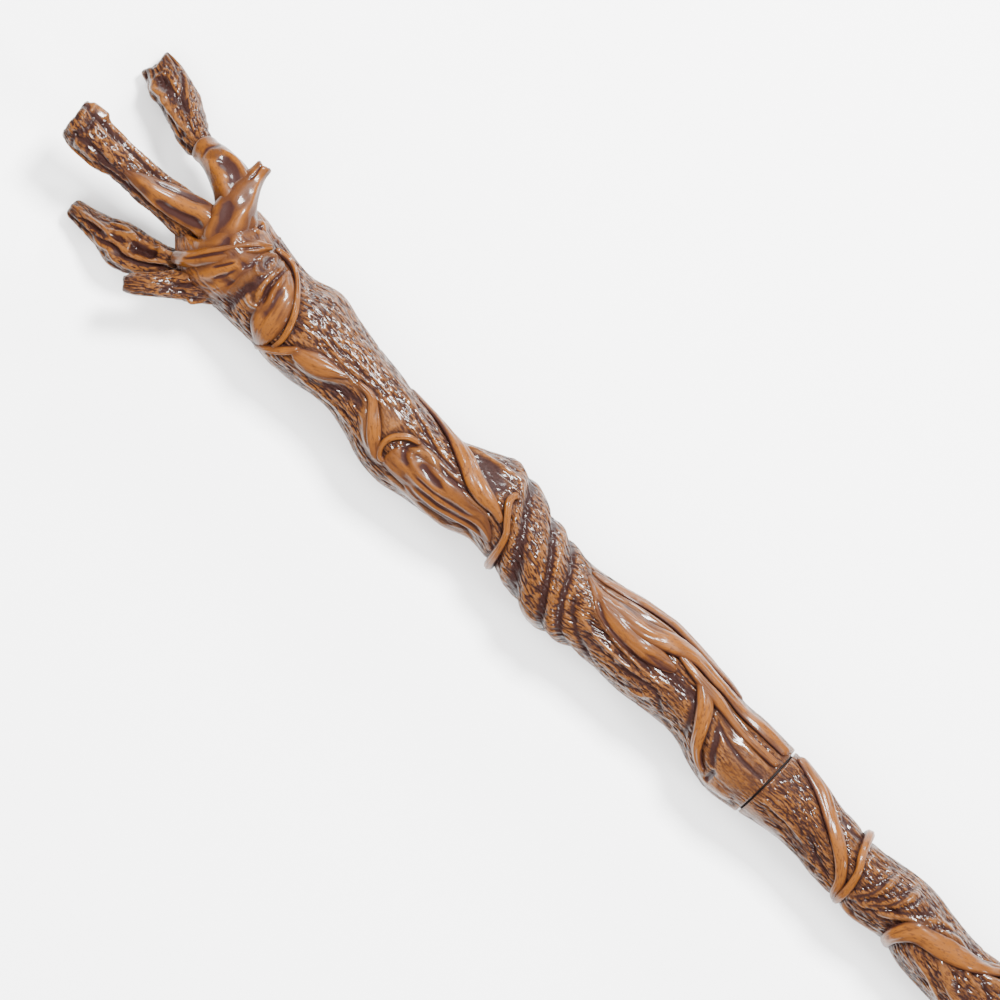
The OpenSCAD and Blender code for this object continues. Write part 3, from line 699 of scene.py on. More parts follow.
shaft = Trunk(SHAFT_OUTLINE, 0, SHAFT_LEN, GRIP_R, [], twist=(56, 84, 0.5), seed=11)
handle = Trunk(HANDLE_OUTLINE, 0, -HANDLE_LEN, GRIP_R, [], seed=31)
crown = Trunk(CROWN_OUTLINE, SHAFT_LEN, SHAFT_LEN + CROWN_LEN, CROWN_R, [], seed=51)
butt = Trunk(BUTT_OUTLINE, -HANDLE_LEN, -HANDLE_LEN - BUTT_LEN, CROWN_R, [], seed=71)

# ---------------------------------------------------------------- what the carver did
# Each mark: kind, half width, height, polish, then places seen from above (x from the seam, y).

SHAFT_MARKS = [
    # ribs and hollows by the seam
    ("smooth", 1, 0, 4.0, (1, 5), (6, 5), (11, 5)),
    ("ridge", 0.9, 0.5, 1.8, (0, -2.4), (8, -2.8), (14, -4), (20, -5)),
    ("groove", 0.5, -0.45, 1.6, (1, 0.3), (8, 0.3), (14, -0.8), (18, -2.5)),
    ("groove", 0.45, -0.5, 1.2, (0, -3.9), (8, -4.1), (15, -5.5), (22, -7)),
    ("groove", 0.4, -0.5, 1.2, (0, -7.1), (8, -7.2), (16, -7.1), (24, -8.2)),
    ("groove", 0.6, -0.9, 0, (10, 9.4), (10.2, 6.2)),
    ("groove", 1.0, -0.7, 1.5, (11, 6), (13.5, 3.5), (15, 1), (17, -1.5)),
    ("ridge", 1.8, 0.5, 2.4, (3, 8.3), (8, 9.3), (13, 8.8)),
    ("groove", 0.9, -0.6, 0.8, (20, 6.5), (22, 2.5), (24.5, -1.5), (28, -3.6)),
    # long hollow, leaf panel and streaks before the twist
    ("groove", 2.0, -0.7, 0, (24, -1.5), (32, -2.3), (40, -1.3)),
    ("ridge", 2.2, 0.35, 2.2, (36, -1.3), (44, -1.7), (52, -2.5), (57, -3.6)),
    ("ridge", 0.7, 0.5, 0.3, (36, 2.6), (44, 3.6), (52, 3.4), (56, 2)),
    ("ridge", 0.6, 0.5, 0.3, (32, 1.2), (40, 1.5), (48, 1.1), (54, -0.4), (60, -4.4)),
    ("groove", 0.5, -0.5, 0, (34, 0.2), (42, 0.4), (49, 0), (54, -1.6), (59, -4.8)),
    ("ridge", 0.8, 0.6, 0.6, (32, 4), (34, 6), (37, 6.6)),
    ("groove", 0.6, -0.5, 0, (27, 6), (31, 3.5), (36, 3.6), (44, 5.2)),
    ("groove", 0.6, -0.5, 0, (46, 8), (52, 6.4), (57, 4), (60, 0)),
    ("ridge", 0.8, 0.45, 1.6, (30, -9.5), (38, -9), (46, -8), (57, -6.3)),
    ("groove", 0.6, -0.6, 1.4, (33, -7.8), (42, -6.6), (50, -5.6), (58, -5)),
    ("smooth", 1, 0, 3.4, (26, -9), (40, -8.8), (56, -6.8)),
    ("smooth", 1, 0, 1.6, (57, 10), (62, 11), (67, 10)),
    # folds of the mantle
    ("ridge", 1.3, 0.55, 2.2, (82, 8.2), (90, 8.7), (97, 9.9), (109, 10.6)),
    ("ridge", 0.7, 0.5, 2.0, (84, 6.1), (90, 6.4), (96, 7.9), (103, 8.5)),
    ("ridge", 0.6, 0.6, 1.6, (99, 9.2), (102, 9.5), (104.5, 9.3)),
    ("ridge", 0.8, 0.6, 2.0, (83, 4.4), (89, 4.4), (95, 5.9), (101, 6.6), (106, 6.6)),
    ("ridge", 0.6, 0.6, 1.8, (89, 2.9), (95, 3.9), (100, 4.9), (105, 4.9), (108.3, 3.4), (107.6, 1.6)),
    ("ridge", 1.3, 0.5, 2.2, (85, 1.9), (91, 1.5), (96, 2.6), (101, 2.2), (105, 0.6), (109, 0.9)),
    ("groove", 0.8, -0.6, 1.5, (85, 7.2), (91, 7.5), (97, 8.9), (101, 9.2)),
    ("groove", 0.9, -0.7, 1.5, (85, 5.3), (91, 5.5), (96, 6.9), (103, 7.6)),
    ("groove", 0.5, -0.55, 1.5, (88, 3.6), (94, 4.9), (100, 5.8), (105, 5.9)),
    ("groove", 1.0, -0.7, 1.5, (98, 3.7), (102, 3.6), (105.5, 3.2)),
    ("groove", 0.5, -0.5, 1.5, (86, 0.5), (93, 0.2), (99, 1.1), (103, 0.2)),
    ("groove", 0.6, -0.7, 1.4, (98, -0.6), (104, -0.9), (109, -0.6)),
    # the smooth dark panel beside the mantle
    ("groove", 2.2, -0.8, 3.2, (87, -4.8), (92, -6), (98, -7.2)),
    ("ridge", 0.6, 0.6, 1.2, (86, -9.9), (92, -9.2), (98, -7.8), (102, -6.4)),
    ("groove", 0.5, -0.5, 0, (103, -1), (110, -2.7), (117, -4.7)),
    ("ridge", 0.6, 0.5, 0.3, (104, -2.1), (112, -3.6), (120, -5.4)),
    # past the lip
    ("ridge", 0.9, 0.7, 1.8, (111, 9.6), (117, 8.4), (121, 5), (124.5, 1.6)),
    ("groove", 0.8, -0.9, 1.2, (114.5, 8), (118, 5.2), (122, 0.8)),
    ("smooth", 1, 0, 3.0, (114, 0.5), (118, 1), (122, 3)),
    ("groove", 0.7, -0.7, 1.0, (107, 5.5), (109.5, 4.6), (110.5, 2.4), (108.5, 0.8)),
    ("groove", 1.3, -0.6, 0, (122, 3.4), (127, 3.5), (131, 4.8), (134, 6)),
    ("ridge", 0.5, 0.5, 1.0, (121, -0.3), (126, 0.6), (131, 1.1)),
    ("ridge", 0.5, 0.5, 1.0, (129, 1.5), (134, 4.7), (139, 6.3), (143, 6)),
    ("smooth", 1, 0, 2.2, (132, 2), (137, 3.6), (142, 4.4)),
    ("ridge", 0.6, 0.25, 0.2, (126, -1.2), (133, -0.7), (140, -2)),
    ("groove", 0.45, -0.3, 0, (126, -2.2), (134, -2), (142, -2.9)),
    ("ridge", 0.7, 0.4, 0.2, (124, 8), (132, 7.6), (140, 8.6)),
    ("groove", 0.6, -0.4, 0, (124, 9.4), (132, 8.8), (141, 9.8)),
]
HEAD_MARKS = [
    # wrinkles and knuckles below the fist
    ("smooth", 1, 0, 3.6, (152, 4), (153, 0), (155, -5)),
    ("ridge", 0.5, 0.7, 2.6, (154.6, 2), (156, -2), (156.6, -7)),
    ("ridge", 0.5, 0.7, 2.2, (157.1, 3.2), (158.3, 0), (158.2, -5), (159, -8)),
    ("ridge", 0.5, 0.6, 1.6, (155.4, 3.8), (158, 4.6), (160.2, 3)),
    ("groove", 0.5, -0.8, 1.6, (155.6, 2.6), (157.2, -1.5), (157.4, -7)),
    ("groove", 1.3, -0.7, 1.5, (153.6, 5), (154, 1), (154.6, -3)),
    ("ridge", 0.4, 0.6, 2.0, (159.6, -2.6), (161.4, -1.3), (163, -3), (162.6, -6), (161, -7.4),
     (159.9, -5.4)),
    ("groove", 0.45, -0.7, 1.4, (160.6, -3.4), (161.6, -4.6), (161.2, -6.2)),
    # the fist's fingers
    ("smooth", 1, 0, 3.4, (168, 8.4), (165, 4.6), (162.6, 0), (161.4, -3)),
    ("ridge", 1.4, 0.5, 0, (165.8, 9.6), (163.6, 5.2), (162.4, 1), (161.2, -2.6)),
    ("ridge", 1.5, 0.6, 2.6, (170.2, 8.6), (167.8, 4.6), (165.8, 1), (164.2, -2)),
    ("groove", 0.8, -0.6, 0, (160.4, 9.4), (160.6, 5), (160, 1)),
    ("groove", 0.32, -0.55, 0, (165.8, 8.4), (164.3, 5.6), (163.6, 3)),
    ("groove", 0.35, -0.6, 0, (167.4, 6.4), (166, 3.8), (165, 1.2)),
    ("groove", 0.32, -0.55, 0, (169.3, 4.8), (167.8, 2.6), (166.3, 0.2)),
    ("groove", 0.35, -0.55, 0, (164.7, 0.6), (163.4, -1.8), (162.7, -3.8)),
    # a knot-hole
    ("ridge", 0.45, 0.7, 1.4, (166.5, -9.4), (168, -8.3), (169.6, -9.2), (168.6, -10.4), (166.8, -9.9)),
    ("groove", 0.7, -1.2, 0, (167.6, -9.4), (168.6, -9.4)),
    # the glossy dome behind the prongs
    ("smooth", 1, 0, 7.0, (170, 1), (176, 0), (180, -2)),
    ("ridge", 0.7, 0.5, 2.0, (171, -6), (172.5, -9), (173.5, -12)),
    ("groove", 1.2, -0.6, 2.0, (171.4, -3), (171, 1), (173.6, 5)),
    ("groove", 2.1, -3.8, 0, (177.4, 4.4), (178.8, 3), (181, 2.4)),
]
HANDLE_MARKS = [
    ("smooth", 1, 0, 2.0, (0, 6.8), (-6, 7.2), (-12, 6.8)),
    ("ridge", 0.8, 0.4, 0.3, (0, 3.4), (-8, 3), (-16, 4)),
    ("groove", 0.7, -0.5, 0, (-14, 1.5), (-19, 4), (-25, 5.6)),
    ("rope", 1.3, 0.8, 0.7, (-29.5, 6.2), (-33, 3), (-35, -1), (-36, -5.6)),
    ("rope", 1.4, 0.9, 0.7, (-33.5, 5), (-37.6, 1.6), (-40.5, -3), (-41.6, -7)),
    ("rope", 1.2, 0.7, 0.7, (-37, 4), (-42, 1), (-46.5, -2), (-50, -5)),
    ("groove", 0.7, -0.8, 0, (-31, 5.4), (-34.2, 1), (-34.9, -4)),
    ("groove", 0.7, -0.8, 0, (-35, 4), (-39, 0), (-40.2, -5)),
    ("ridge", 1.0, 0.5, 1.6, (-30, 7.2), (-36, 7.6), (-43, 6.6)),
    ("groove", 0.6, -0.5, 0, (-44, -1), (-50, -4), (-56, -6)),
    ("groove", 0.8, -0.6, 0.9, (-17, -6.6), (-21, -5.6), (-24.4, -6)),
]


def marked(trunk, marks):
    """Strokes from a list of marks, with each place turned into an angle on the trunk."""
    return [Stroke(kind, top(trunk, points), width, height, polish)
            for kind, width, height, polish, *points in marks]


def twist_route(x_top, reach, step):
    """A route round the twisted stretch, from the far side over the top and round again."""
    return [(x_top - 0.1 * a + 0.8 * math.sin(math.radians(2 * a + 30 * x_top)), a)
            for a in range(reach, -reach - 1, -step)]


TWIST_STRANDS = ((57.6, 1.7, 0.4), (64.3, 1.3, 0.8), (71.6, 2.7, 0.8), (80.6, 1.3, 0.6))
TWIST_GAPS = ((61.4, 0.7, -0.7), (67.4, 0.9, -0.75), (77, 1.5, -0.8))

shaft.strokes = marked(shaft, SHAFT_MARKS)
shaft.strokes += [Stroke("ridge", twist_route(x_top, 176, 32), width, height)
                  for x_top, width, height in TWIST_STRANDS]
shaft.strokes += [Stroke("groove", twist_route(x_top, 170, 34), width, height)
                  for x_top, width, height in TWIST_GAPS]
shaft.strokes += marked(shaft, HEAD_MARKS)
shaft.strokes += scatter(5, 26, (2, 150), (112, 250))
handle.strokes = marked(handle, HANDLE_MARKS)
handle.strokes += scatter(6, 14, (-60, -6), (112, 250))
handle.strokes += scatter(7, 26, (-122, -62), (-180, 180))
crown.strokes = marked(crown, HEAD_MARKS)
butt.strokes = scatter(8, 12, (-146, -128), (-180, 180))

# ---------------------------------------------------------------- vines let into the castings
# Rows: share of the casting's length, angle from the top towards +Y, half width and height in mm.

HANDLE_VINES = {
    "handle_vine": [(0.012, -74, 1.9, 0.8), (0.048, -62, 2.1, 0.9), (0.087, -51, 2.2, 1),
                    (0.123, -35, 2.2, 1.1), (0.159, -16, 1.9, 1), (0.190, 4, 1.6, 1), (0.214, 30, 1.3, 0.9),
                    (0.226, 64, 1, 0.8), (0.245, 110, 0.6, 0.4)],
    "handle_tendril": [(0.236, 96, 0.8, 0.7), (0.236, 62, 1, 1), (0.235, 30, 1, 1.1), (0.227, -2, 1, 1.1),
                       (0.211, -28, 1.1, 1.2), (0.2015, -60, 1.2, 1.4), (0.199, -98, 1.2, 1.5),
                       (0.203, -135, 0.8, 0.5)],
    "handle_root": [(0.356, 104, 1.3, 0.6), (0.350, 64, 1.7, 1), (0.354, 36, 2, 1.2), (0.376, 8, 2.4, 1.2),
                    (0.430, -12, 2.6, 1.1), (0.500, -40, 2.2, 1), (0.570, -84, 1.7, 0.8),
                    (0.630, -130, 0.8, 0.3)],
    "grip_vine": [(0.400, 175, 0.8, 0.3), (0.470, 150, 1.6, 0.8), (0.550, 118, 2, 1), (0.630, 80, 2.2, 1),
                  (0.700, 46, 2, 1), (0.760, 10, 1.6, 0.9), (0.820, -30, 1.2, 0.8), (0.880, -60, 0.6, 0.4)],
    "butt_vine": [(0.740, -150, 0.8, 0.4), (0.790, -110, 1.5, 0.8), (0.850, -82, 1.8, 1),
                  (0.910, -68, 1.8, 0.9), (0.965, -60, 1.5, 0.7)],
}
SHAFT_VINES = {
    "seam_root": [(0.005, -55, 1.8, 0.8), (0.050, -56, 2, 0.9), (0.098, -56, 2, 1), (0.146, -50, 2, 1.1),
                  (0.183, -50, 2.1, 1.2), (0.220, -37, 2.3, 1.2), (0.262, -24, 2.3, 1.1),
                  (0.305, -25, 2.1, 0.9), (0.342, -31, 1.6, 0.7), (0.372, -52, 0.6, 0.3)],
    "seam_rib": [(0.005, -29, 1, 0.6), (0.054, -27, 1.2, 0.8), (0.104, -29, 1.3, 0.9), (0.146, -26, 1.4, 1),
                 (0.183, -29, 1.2, 0.9), (0.215, -33, 0.6, 0.4)],
    "curl_vine": [(0.166, -28, 1.2, 0.6), (0.150, -20, 1.8, 1), (0.132, -4, 2, 1.2), (0.116, 18, 2, 1.3),
                  (0.104, 38, 1.9, 1.3), (0.088, 52, 1.5, 1.1), (0.070, 58, 0.9, 0.7)],
    "spread_root": [(0.195, -12, 0.8, 0.4), (0.225, -7, 2, 0.7), (0.270, -5, 2.6, 0.8),
                    (0.315, -13, 2.2, 0.8), (0.345, -27, 1, 0.5)],
    "flank_vine": [(0.100, -96, 1, 0.5), (0.150, -88, 1.8, 0.9), (0.210, -80, 2.2, 1), (0.270, -70, 2.1, 1),
                   (0.330, -63, 1.7, 0.8), (0.372, -64, 0.7, 0.4)],
    "back_vine": [(0.020, 150, 1, 0.5), (0.100, 168, 2, 1), (0.190, 196, 2.3, 1.1), (0.280, 222, 2.1, 1),
                  (0.370, 200, 2, 1), (0.450, 165, 2.2, 1.1), (0.540, 150, 2.4, 1.1), (0.640, 178, 2.2, 1),
                  (0.740, 210, 2, 1), (0.840, 196, 2, 1), (0.930, 172, 1, 0.6)],
    "hook_tendril": [(0.477, 112, 0.8, 0.8), (0.479, 88, 1.2, 1.4), (0.4835, 42, 1.1, 1.3),
                     (0.491, 13, 1, 1.2), (0.506, 0, 1, 1.2), (0.519, -12, 1, 1.2), (0.5205, -24, 0.9, 1.1),
                     (0.513, -31, 0.7, 0.9)],
    "mantle_root": [(0.500, 44, 1.2, 0.3), (0.530, 40, 3, 0.6), (0.570, 38, 4.2, 0.8),
                    (0.610, 30, 4.6, 0.9), (0.650, 24, 4.2, 0.8), (0.685, 22, 2.6, 0.5)],
    "side_vine": [(0.507, 10, 0.9, 0.5), (0.542, 3, 1.6, 1), (0.575, -12, 2, 1.2), (0.605, -36, 2.1, 1.2),
                  (0.640, -64, 1.9, 1), (0.680, -84, 1.6, 0.9), (0.725, -92, 0.8, 0.4)],
    "lip_vine": [(0.660, -16, 0.5, 0.5), (0.680, -11, 0.8, 1), (0.695, 4, 0.9, 1.2), (0.698, 20, 0.9, 1.2),
                 (0.690, 34, 0.8, 1.1), (0.678, 35, 0.6, 0.8)],
    "fork_vine": [(0.690, 46, 1, 0.6), (0.713, 24, 1.7, 1), (0.735, 8, 1.6, 1), (0.756, -4, 1.2, 0.9),
                  (0.783, -1, 0.6, 0.5)],
    "leaf_root": [(0.794, 4, 0.5, 0.4), (0.817, 14, 1.8, 0.8), (0.842, 21, 2.3, 0.9), (0.866, 26, 1.6, 0.8),
                  (0.881, 27, 0.4, 0.4)],
    "ledge_tendril": [(0.868, 20, 0.7, 0.8), (0.884, 34, 0.9, 1.3), (0.902, 50, 0.9, 1.3),
                      (0.914, 66, 0.8, 1), (0.918, 90, 0.5, 0.4)],
    "brow_vine": [(0.899, 44, 0.6, 0.8), (0.896, 24, 0.75, 1.0), (0.905, -2, 0.75, 1.1),
                  (0.923, -28, 0.8, 1.1), (0.945, -55, 0.8, 1.1), (0.967, -64, 0.8, 1.1),
                  (0.990, -54, 0.7, 0.9)],
    "fold_vine": [(0.914, 66, 1.6, 0.5), (0.925, 34, 3.2, 0.8), (0.931, 4, 3.5, 0.8),
                  (0.943, -24, 3.3, 0.8), (0.962, -46, 2.2, 0.6)],
}
BROAD = ("mantle_root", "spread_root", "fold_vine", "leaf_root")   # flatter, with soft edges


VINE_PITCH = 0.42                       # between a vine's rings, in millimetres
VINE_TIP = 0.9                          # how far a vine takes to round off at each end


def bed(rows, span, depth):
    """The groove that the carver cut round a vine, so that it stands off the bark."""
    route = [(row[0] * span, row[1]) for row in rows]
    return Stroke("bed", route, 1.5, -depth, widths=[row[2] for row in rows])


def add_vine(name, trunk, rows, span, body):
    """A strip that follows the carved skin: a rounded top with fine flutes, and a bedded underside."""
    rows = np.array(rows, float)
    broad = name in BROAD
    rough = along(rows, np.linspace(0, 1, 200))
    centre = trunk.place(rough[:, 0] * span, rough[:, 1])
    length = np.concatenate([[0], np.cumsum(np.linalg.norm(np.diff(centre, axis=0), axis=1))])
    rings = max(40, int(length[-1] / VINE_PITCH))
    ends = np.sin(np.linspace(0, math.pi / 2, 7)) * VINE_TIP
    middle = np.linspace(VINE_TIP, length[-1] - VINE_TIP, rings)
    run = np.unique(np.concatenate([ends, middle, length[-1] - ends]))
    share = np.interp(run, length, np.linspace(0, 1, 200))
    row = along(rows, share)
    x, a = row[:, 0] * span, row[:, 1]
    tip = np.sqrt(np.clip(np.minimum(run, length[-1] - run) / VINE_TIP, 0, 1)) ** 0.9
    uneven = noise(run * 0.14, 0 * run + 0.5, 0 * run + 0.5, trunk.seed + 3 * len(name))
    width = np.maximum(row[:, 2], 0.2) * (0.15 + 0.85 * tip) * (1 + 0.22 * uneven)
    tall = np.maximum(row[:, 3], 0.15) * (0.1 + 0.9 * tip) * (1 + 0.2 * uneven)
    radius = trunk.section(x)[:, 2:].mean(1)
    dx, ds = np.gradient(x, run), np.gradient(np.unwrap(a, period=360) * math.pi / 180 * radius, run)
    size = np.hypot(dx, ds)
    over, under = (34, 9) if broad else (26, 8)
    t = np.concatenate([-np.cos(np.linspace(0, math.pi, over)), np.cos(np.linspace(0, math.pi, under))[1:-1]])
    upper = np.arange(len(t)) < over
    x2 = x[:, None] + (-ds / size * width)[:, None] * t
    a2 = a[:, None] + (dx / size * width / radius)[:, None] * t * 180 / math.pi
    carved, bark, stain = trunk.carved(x2, a2)
    along_run, across_run = run[:, None] + 0 * x2, t * width[:, None]
    if broad:
        dome = np.clip(1 - np.abs(t) ** 2.6, 0, 1) ** 0.8
    else:
        dome = np.sqrt(np.clip(1 - t ** 2, 0, 1))
    crest = 1 - 0.12 * np.exp(-((t - 0.25) / 0.16) ** 2) - 0.1 * np.exp(-((t + 0.42) / 0.14) ** 2)
    wave = 0.16 * noise(along_run * 0.16, across_run * 0.35, 3.0 + 0 * x2, trunk.seed + len(name))
    flute = np.abs(noise(along_run * 0.07, across_run * 1.1, 7.0 + 0 * x2, trunk.seed + 9 + len(name)))
    fine = 0.13 * (smooth_step(0, 0.2, flute) - 1)
    top_lift = dome * crest * tall[:, None] * 1.08 + (wave + fine) * dome
    share_carved = 0.75 if broad else 0.3
    relief = np.where(upper, top_lift + share_carved * carved, 0)
    lift = np.where(upper, relief - 0.04, -0.7 * np.sqrt(np.clip(1 - t ** 2, 0, 1)) - 0.05)
    places = trunk.place(x2, a2, lift)
    fibres = np.stack([along_run, across_run, lift], -1)
    rolled(name, places, np.where(upper, relief, 0.2), 0.12 + 0.2 * bark * upper, 0.6 * stain * upper,
           fibres, body, "root_resin", (VINE_PITCH, 2 * float(width.mean()) / over))


LAP = 3.2                               # how far a casting runs on over its neighbour's end


def with_last_repeated(field, count):
    """A ring-by-column field with its last ring repeated."""
    return np.concatenate([field, np.repeat(field[-1:], count, 0)])


def add_trunk(name, trunk, x0, x1, rings, columns, body, slot, bore=None, bark_scale=1.0,
              closed_tip=False, pinch=0.0, laps=None):
    """A casting from x0 to x1. With a bore, its x0 end is a flat face with a rounded rim round the bore.

    pinch is how much of its girth it loses towards x1. laps is the casting whose end it runs on to.
    """
    step = (x1 - x0) / rings
    xs = np.linspace(x0, x1, rings + 1)
    if bore:
        xs = np.concatenate([xs[:1], xs[0] + step * np.array([0.12, 0.3, 0.6]), xs[1:]])
    a = -180 + np.arange(columns) * 360 / columns
    x, a = np.meshgrid(xs, a, indexing="ij")
    relief, bark, stain, fibres = trunk.skin(x, a, bark_scale)
    away = np.abs(x - x0)
    if bore:
        calm = smooth_step(0.2, 2.5, away)
        relief = relief * (0.35 + 0.65 * calm) - 0.16 * (1 - smooth_step(0, 0.3, away))
        bark = bark * (0.5 + 0.5 * calm)
    places = trunk.place(x, a, relief)
    girth = 1 - pinch * smooth_step(x0 + 0.3 * (x1 - x0), x1, x)[..., None]
    places[..., 1:] *= girth
    if bore:
        rim = places[0]
        q = np.radians(a[0])
        circle = np.stack([0 * q + x0, bore * np.sin(q), bore * np.cos(q)], -1)
        inward = math.copysign(1, step)
        face = [circle + (4 * inward, 0, 0), circle + (0.25 * inward, 0, 0)]
        face += [circle * (1, 1.02, 1.02) + (rim - circle) * share for share in (0.03, 0.3, 0.65, 0.94)]
        places = np.concatenate([face, places])
        pad = len(face)
        relief = np.concatenate([np.repeat(relief[:1], pad, 0), relief])
        bark = np.concatenate([np.full((pad, columns), 0.1), bark])
        stain = np.concatenate([np.zeros((pad, columns)), stain])
        fibres = np.concatenate([np.stack(face), fibres])
    if laps:
        x3, a3 = np.meshgrid(x0 - math.copysign(LAP, step) * np.linspace(1, 0.08, 9), a[0], indexing="ij")
        under, bark3, stain3, fibres3 = laps.skin(x3, a3)
        ease = 1 - smooth_step(0, 4, away)
        carried = laps.skin(np.full(a.shape, x0), a)[0]
        relief = relief + ease * (carried[:1] - relief + 0.12)
        places[..., 1:] = trunk.place(x, a, relief)[..., 1:] * girth
        uneven = 0.9 * noise(np.cos(np.radians(a3)) * 3, np.sin(np.radians(a3)) * 3, 0 * a3 + 0.5, trunk.seed)
        rise = 0.12 - 0.62 * smooth_step(0.55 + uneven, 1.6 + uneven, np.abs(x3 - x0))
        places = np.concatenate([laps.place(x3, a3, under + rise), places])
        relief = np.concatenate([under, relief])
        bark = np.concatenate([bark3, bark])
        stain = np.concatenate([stain3, stain])
        fibres = np.concatenate([fibres3 + fibres[:1] - laps.fibres(x, a)[:1], fibres])
    if closed_tip:
        last = places[-1]
        middle = last.mean(0)
        caps = [middle + (last - middle) * share + (math.copysign(1.6, step) * rise, 0, 0)
                for share, rise in ((0.85, 0.45), (0.55, 0.8), (0.2, 1.0))]
        places = np.concatenate([places, caps])
        fields = (relief, bark, stain, fibres)
        relief, bark, stain, fibres = (with_last_repeated(field, len(caps)) for field in fields)
    cell = (abs(step), math.tau * trunk.radius / columns)
    rolled(name, places, relief, bark, stain, fibres, body, slot, cell)


# ---------------------------------------------------------------- limbs: free roots along a route


class Limb:
    """A root along a route. Rows are x, y, z, half width and half height in millimetres."""

    def __init__(self, rows):
        self.rows = np.array(rows, float)
        self.steps = np.linspace(0, 1, 240)
        path = along(self.rows, self.steps)[:, :3]
        self.length = np.concatenate([[0], np.cumsum(np.linalg.norm(np.diff(path, axis=0), axis=1))])

    def frame(self, run):
        """The centre, the two half sizes and the directions along, sideways and out at a distance."""
        share = np.interp(run, self.length, self.steps)
        row = along(self.rows, share)
        ahead = along(self.rows, np.minimum(share + 0.01, 1))[:, :3]
        behind = along(self.rows, np.maximum(share - 0.01, 0))[:, :3]
        t = ahead - behind
        t /= np.linalg.norm(t, axis=1)[:, None]
        side = np.cross(t, (0, 0, 1.0))
        side /= np.linalg.norm(side, axis=1)[:, None]
        return row[:, :3], row[:, 3], row[:, 4], t, side, np.cross(side, t), share


LIMB_PITCH = 0.34                       # between a limb's rings, in millimetres
TIPS = {                                # rings that close a limb: share of its girth, and how far out
    "round": [(0.93, 0.35), (0.8, 0.62), (0.6, 0.82), (0.36, 0.95), (0.12, 1.0)],
    "hollow": [(0.92, 0.3), (0.8, 0.48), (0.66, 0.5), (0.5, 0.25), (0.42, -0.5), (0.34, -1.6), (0.1, -2.0)],
    "ragged": [(0.95, 0.25), (0.82, 0.42), (0.64, 0.35), (0.44, 0.1), (0.24, 0.15), (0.08, 0.3)],
    "lip": [(0.97, 0.28), (0.9, 0.36), (0.86, 0.2), (0.84, -0.6), (0.8, -1.6), (0.3, -1.8)],
}


def add_limb(name, rows, strokes, slot, seed, columns=112, tip="round", lip=0.0, knob=0.0, notch=0.0,
             slant=0.0):
    """A root with carved strokes and bark, and a rounded, hollow, ragged or lipped tip.

    Strokes are placed by distance along the root and angle: 0 faces -Y, 90 the top, 180 +Y.
    lip and knob swell its end. notch and slant make its rim uneven.
    """
    limb = Limb(rows)
    total = limb.length[-1]
    run = np.linspace(0, total, max(30, int(total / LIMB_PITCH)))
    centre, wide, high, t, side, out, share = limb.frame(run)
    q = -90 + np.arange(columns) * 360 / columns
    s, angle = np.meshgrid(run, q, indexing="ij")
    radius = float((wide + high).mean() / 2)
    height, bark, stain = carve(strokes, s, angle, radius)
    twisted = np.radians(angle + 2.2 * s)
    fibres = np.stack([s, radius * np.cos(twisted), radius * np.sin(twisted)], -1)
    grooves = bark_grooves(fibres[..., 0] * 1.3, fibres[..., 1], fibres[..., 2], seed)
    wave = 0.22 * noise(s * 0.22, np.cos(twisted) * 1.3, np.sin(twisted) * 1.3, seed + 6)
    if slot == "bark_resin":
        relief = height + wave + grooves * (0.1 + 0.9 * bark)
    else:
        bark = 0 * bark
        relief = height + wave + grooves * 0.05
    swell = 1 + 2 * LOBE * np.sin(np.radians(2 * angle + 300 * share[:, None]))
    scale = 0.55 + 0.45 * smooth_step(0, 3.5, run)
    if lip:
        scale += lip * np.exp(-(((total - run) / 1.1) ** 2))
    if knob:
        sides = 0.5 + 0.5 * np.cos(np.radians(2 * angle + 40))
        swell = swell + knob * np.exp(-(((total - s) / 3.0) ** 2)) * sides
    sideways = ((wide * scale)[:, None] * swell + relief) * np.cos(np.radians(angle))
    outwards = ((high * scale)[:, None] * swell + relief) * np.sin(np.radians(angle))
    places = centre[:, None] + side[:, None] * sideways[..., None] + out[:, None] * outwards[..., None]
    longer = notch * (np.abs(np.cos(np.radians(q - 8))) ** 1.5 - 0.3) + slant * np.cos(np.radians(q - 20))
    round_q = 2.5 * np.cos(np.radians(q)), 2.5 * np.sin(np.radians(q))
    longer += 0.35 * noise(*round_q, 0.5 + 0 * q, seed + 3)
    push = np.exp(-(((total - s) / 2.6) ** 2)) * longer[None] * (1 if tip != "lip" else 0)
    places = places + t[:, None] * push[..., None]
    last = places[-1]
    middle = last.mean(0)
    caps = np.array(TIPS[tip])
    rough = relief[-1] - relief[-1].mean()
    rings = []
    for shrink, rise in caps:
        ring = middle + (last - middle) * shrink + t[-1] * rise * float(high[-1]) * 0.45
        rings.append(ring + t[-1] * (rough * 0.6 * (1 - shrink))[:, None])
    places = np.concatenate([places, rings])
    pad = len(rings)
    fields = (relief, bark, stain, fibres)
    relief, bark, stain, fibres = (with_last_repeated(field, pad) for field in fields)
    if tip in ("hollow", "lip"):
        stain[-pad:] += caps[:, 1:] < 0.2
    fibres[-pad:] *= caps[:, :1, None]
    cell = (LIMB_PITCH, math.tau * radius / columns)
    rolled(name, places, relief, bark, stain, fibres, "shaft", slot, cell)


def head(share, y, z, wide, high):
    """A row of a limb's route: x is a share of the reach from the crown's seat, y a share of the spread."""
    return (SHAFT_LEN + share * REACH, y * SPREAD, z, wide, high)


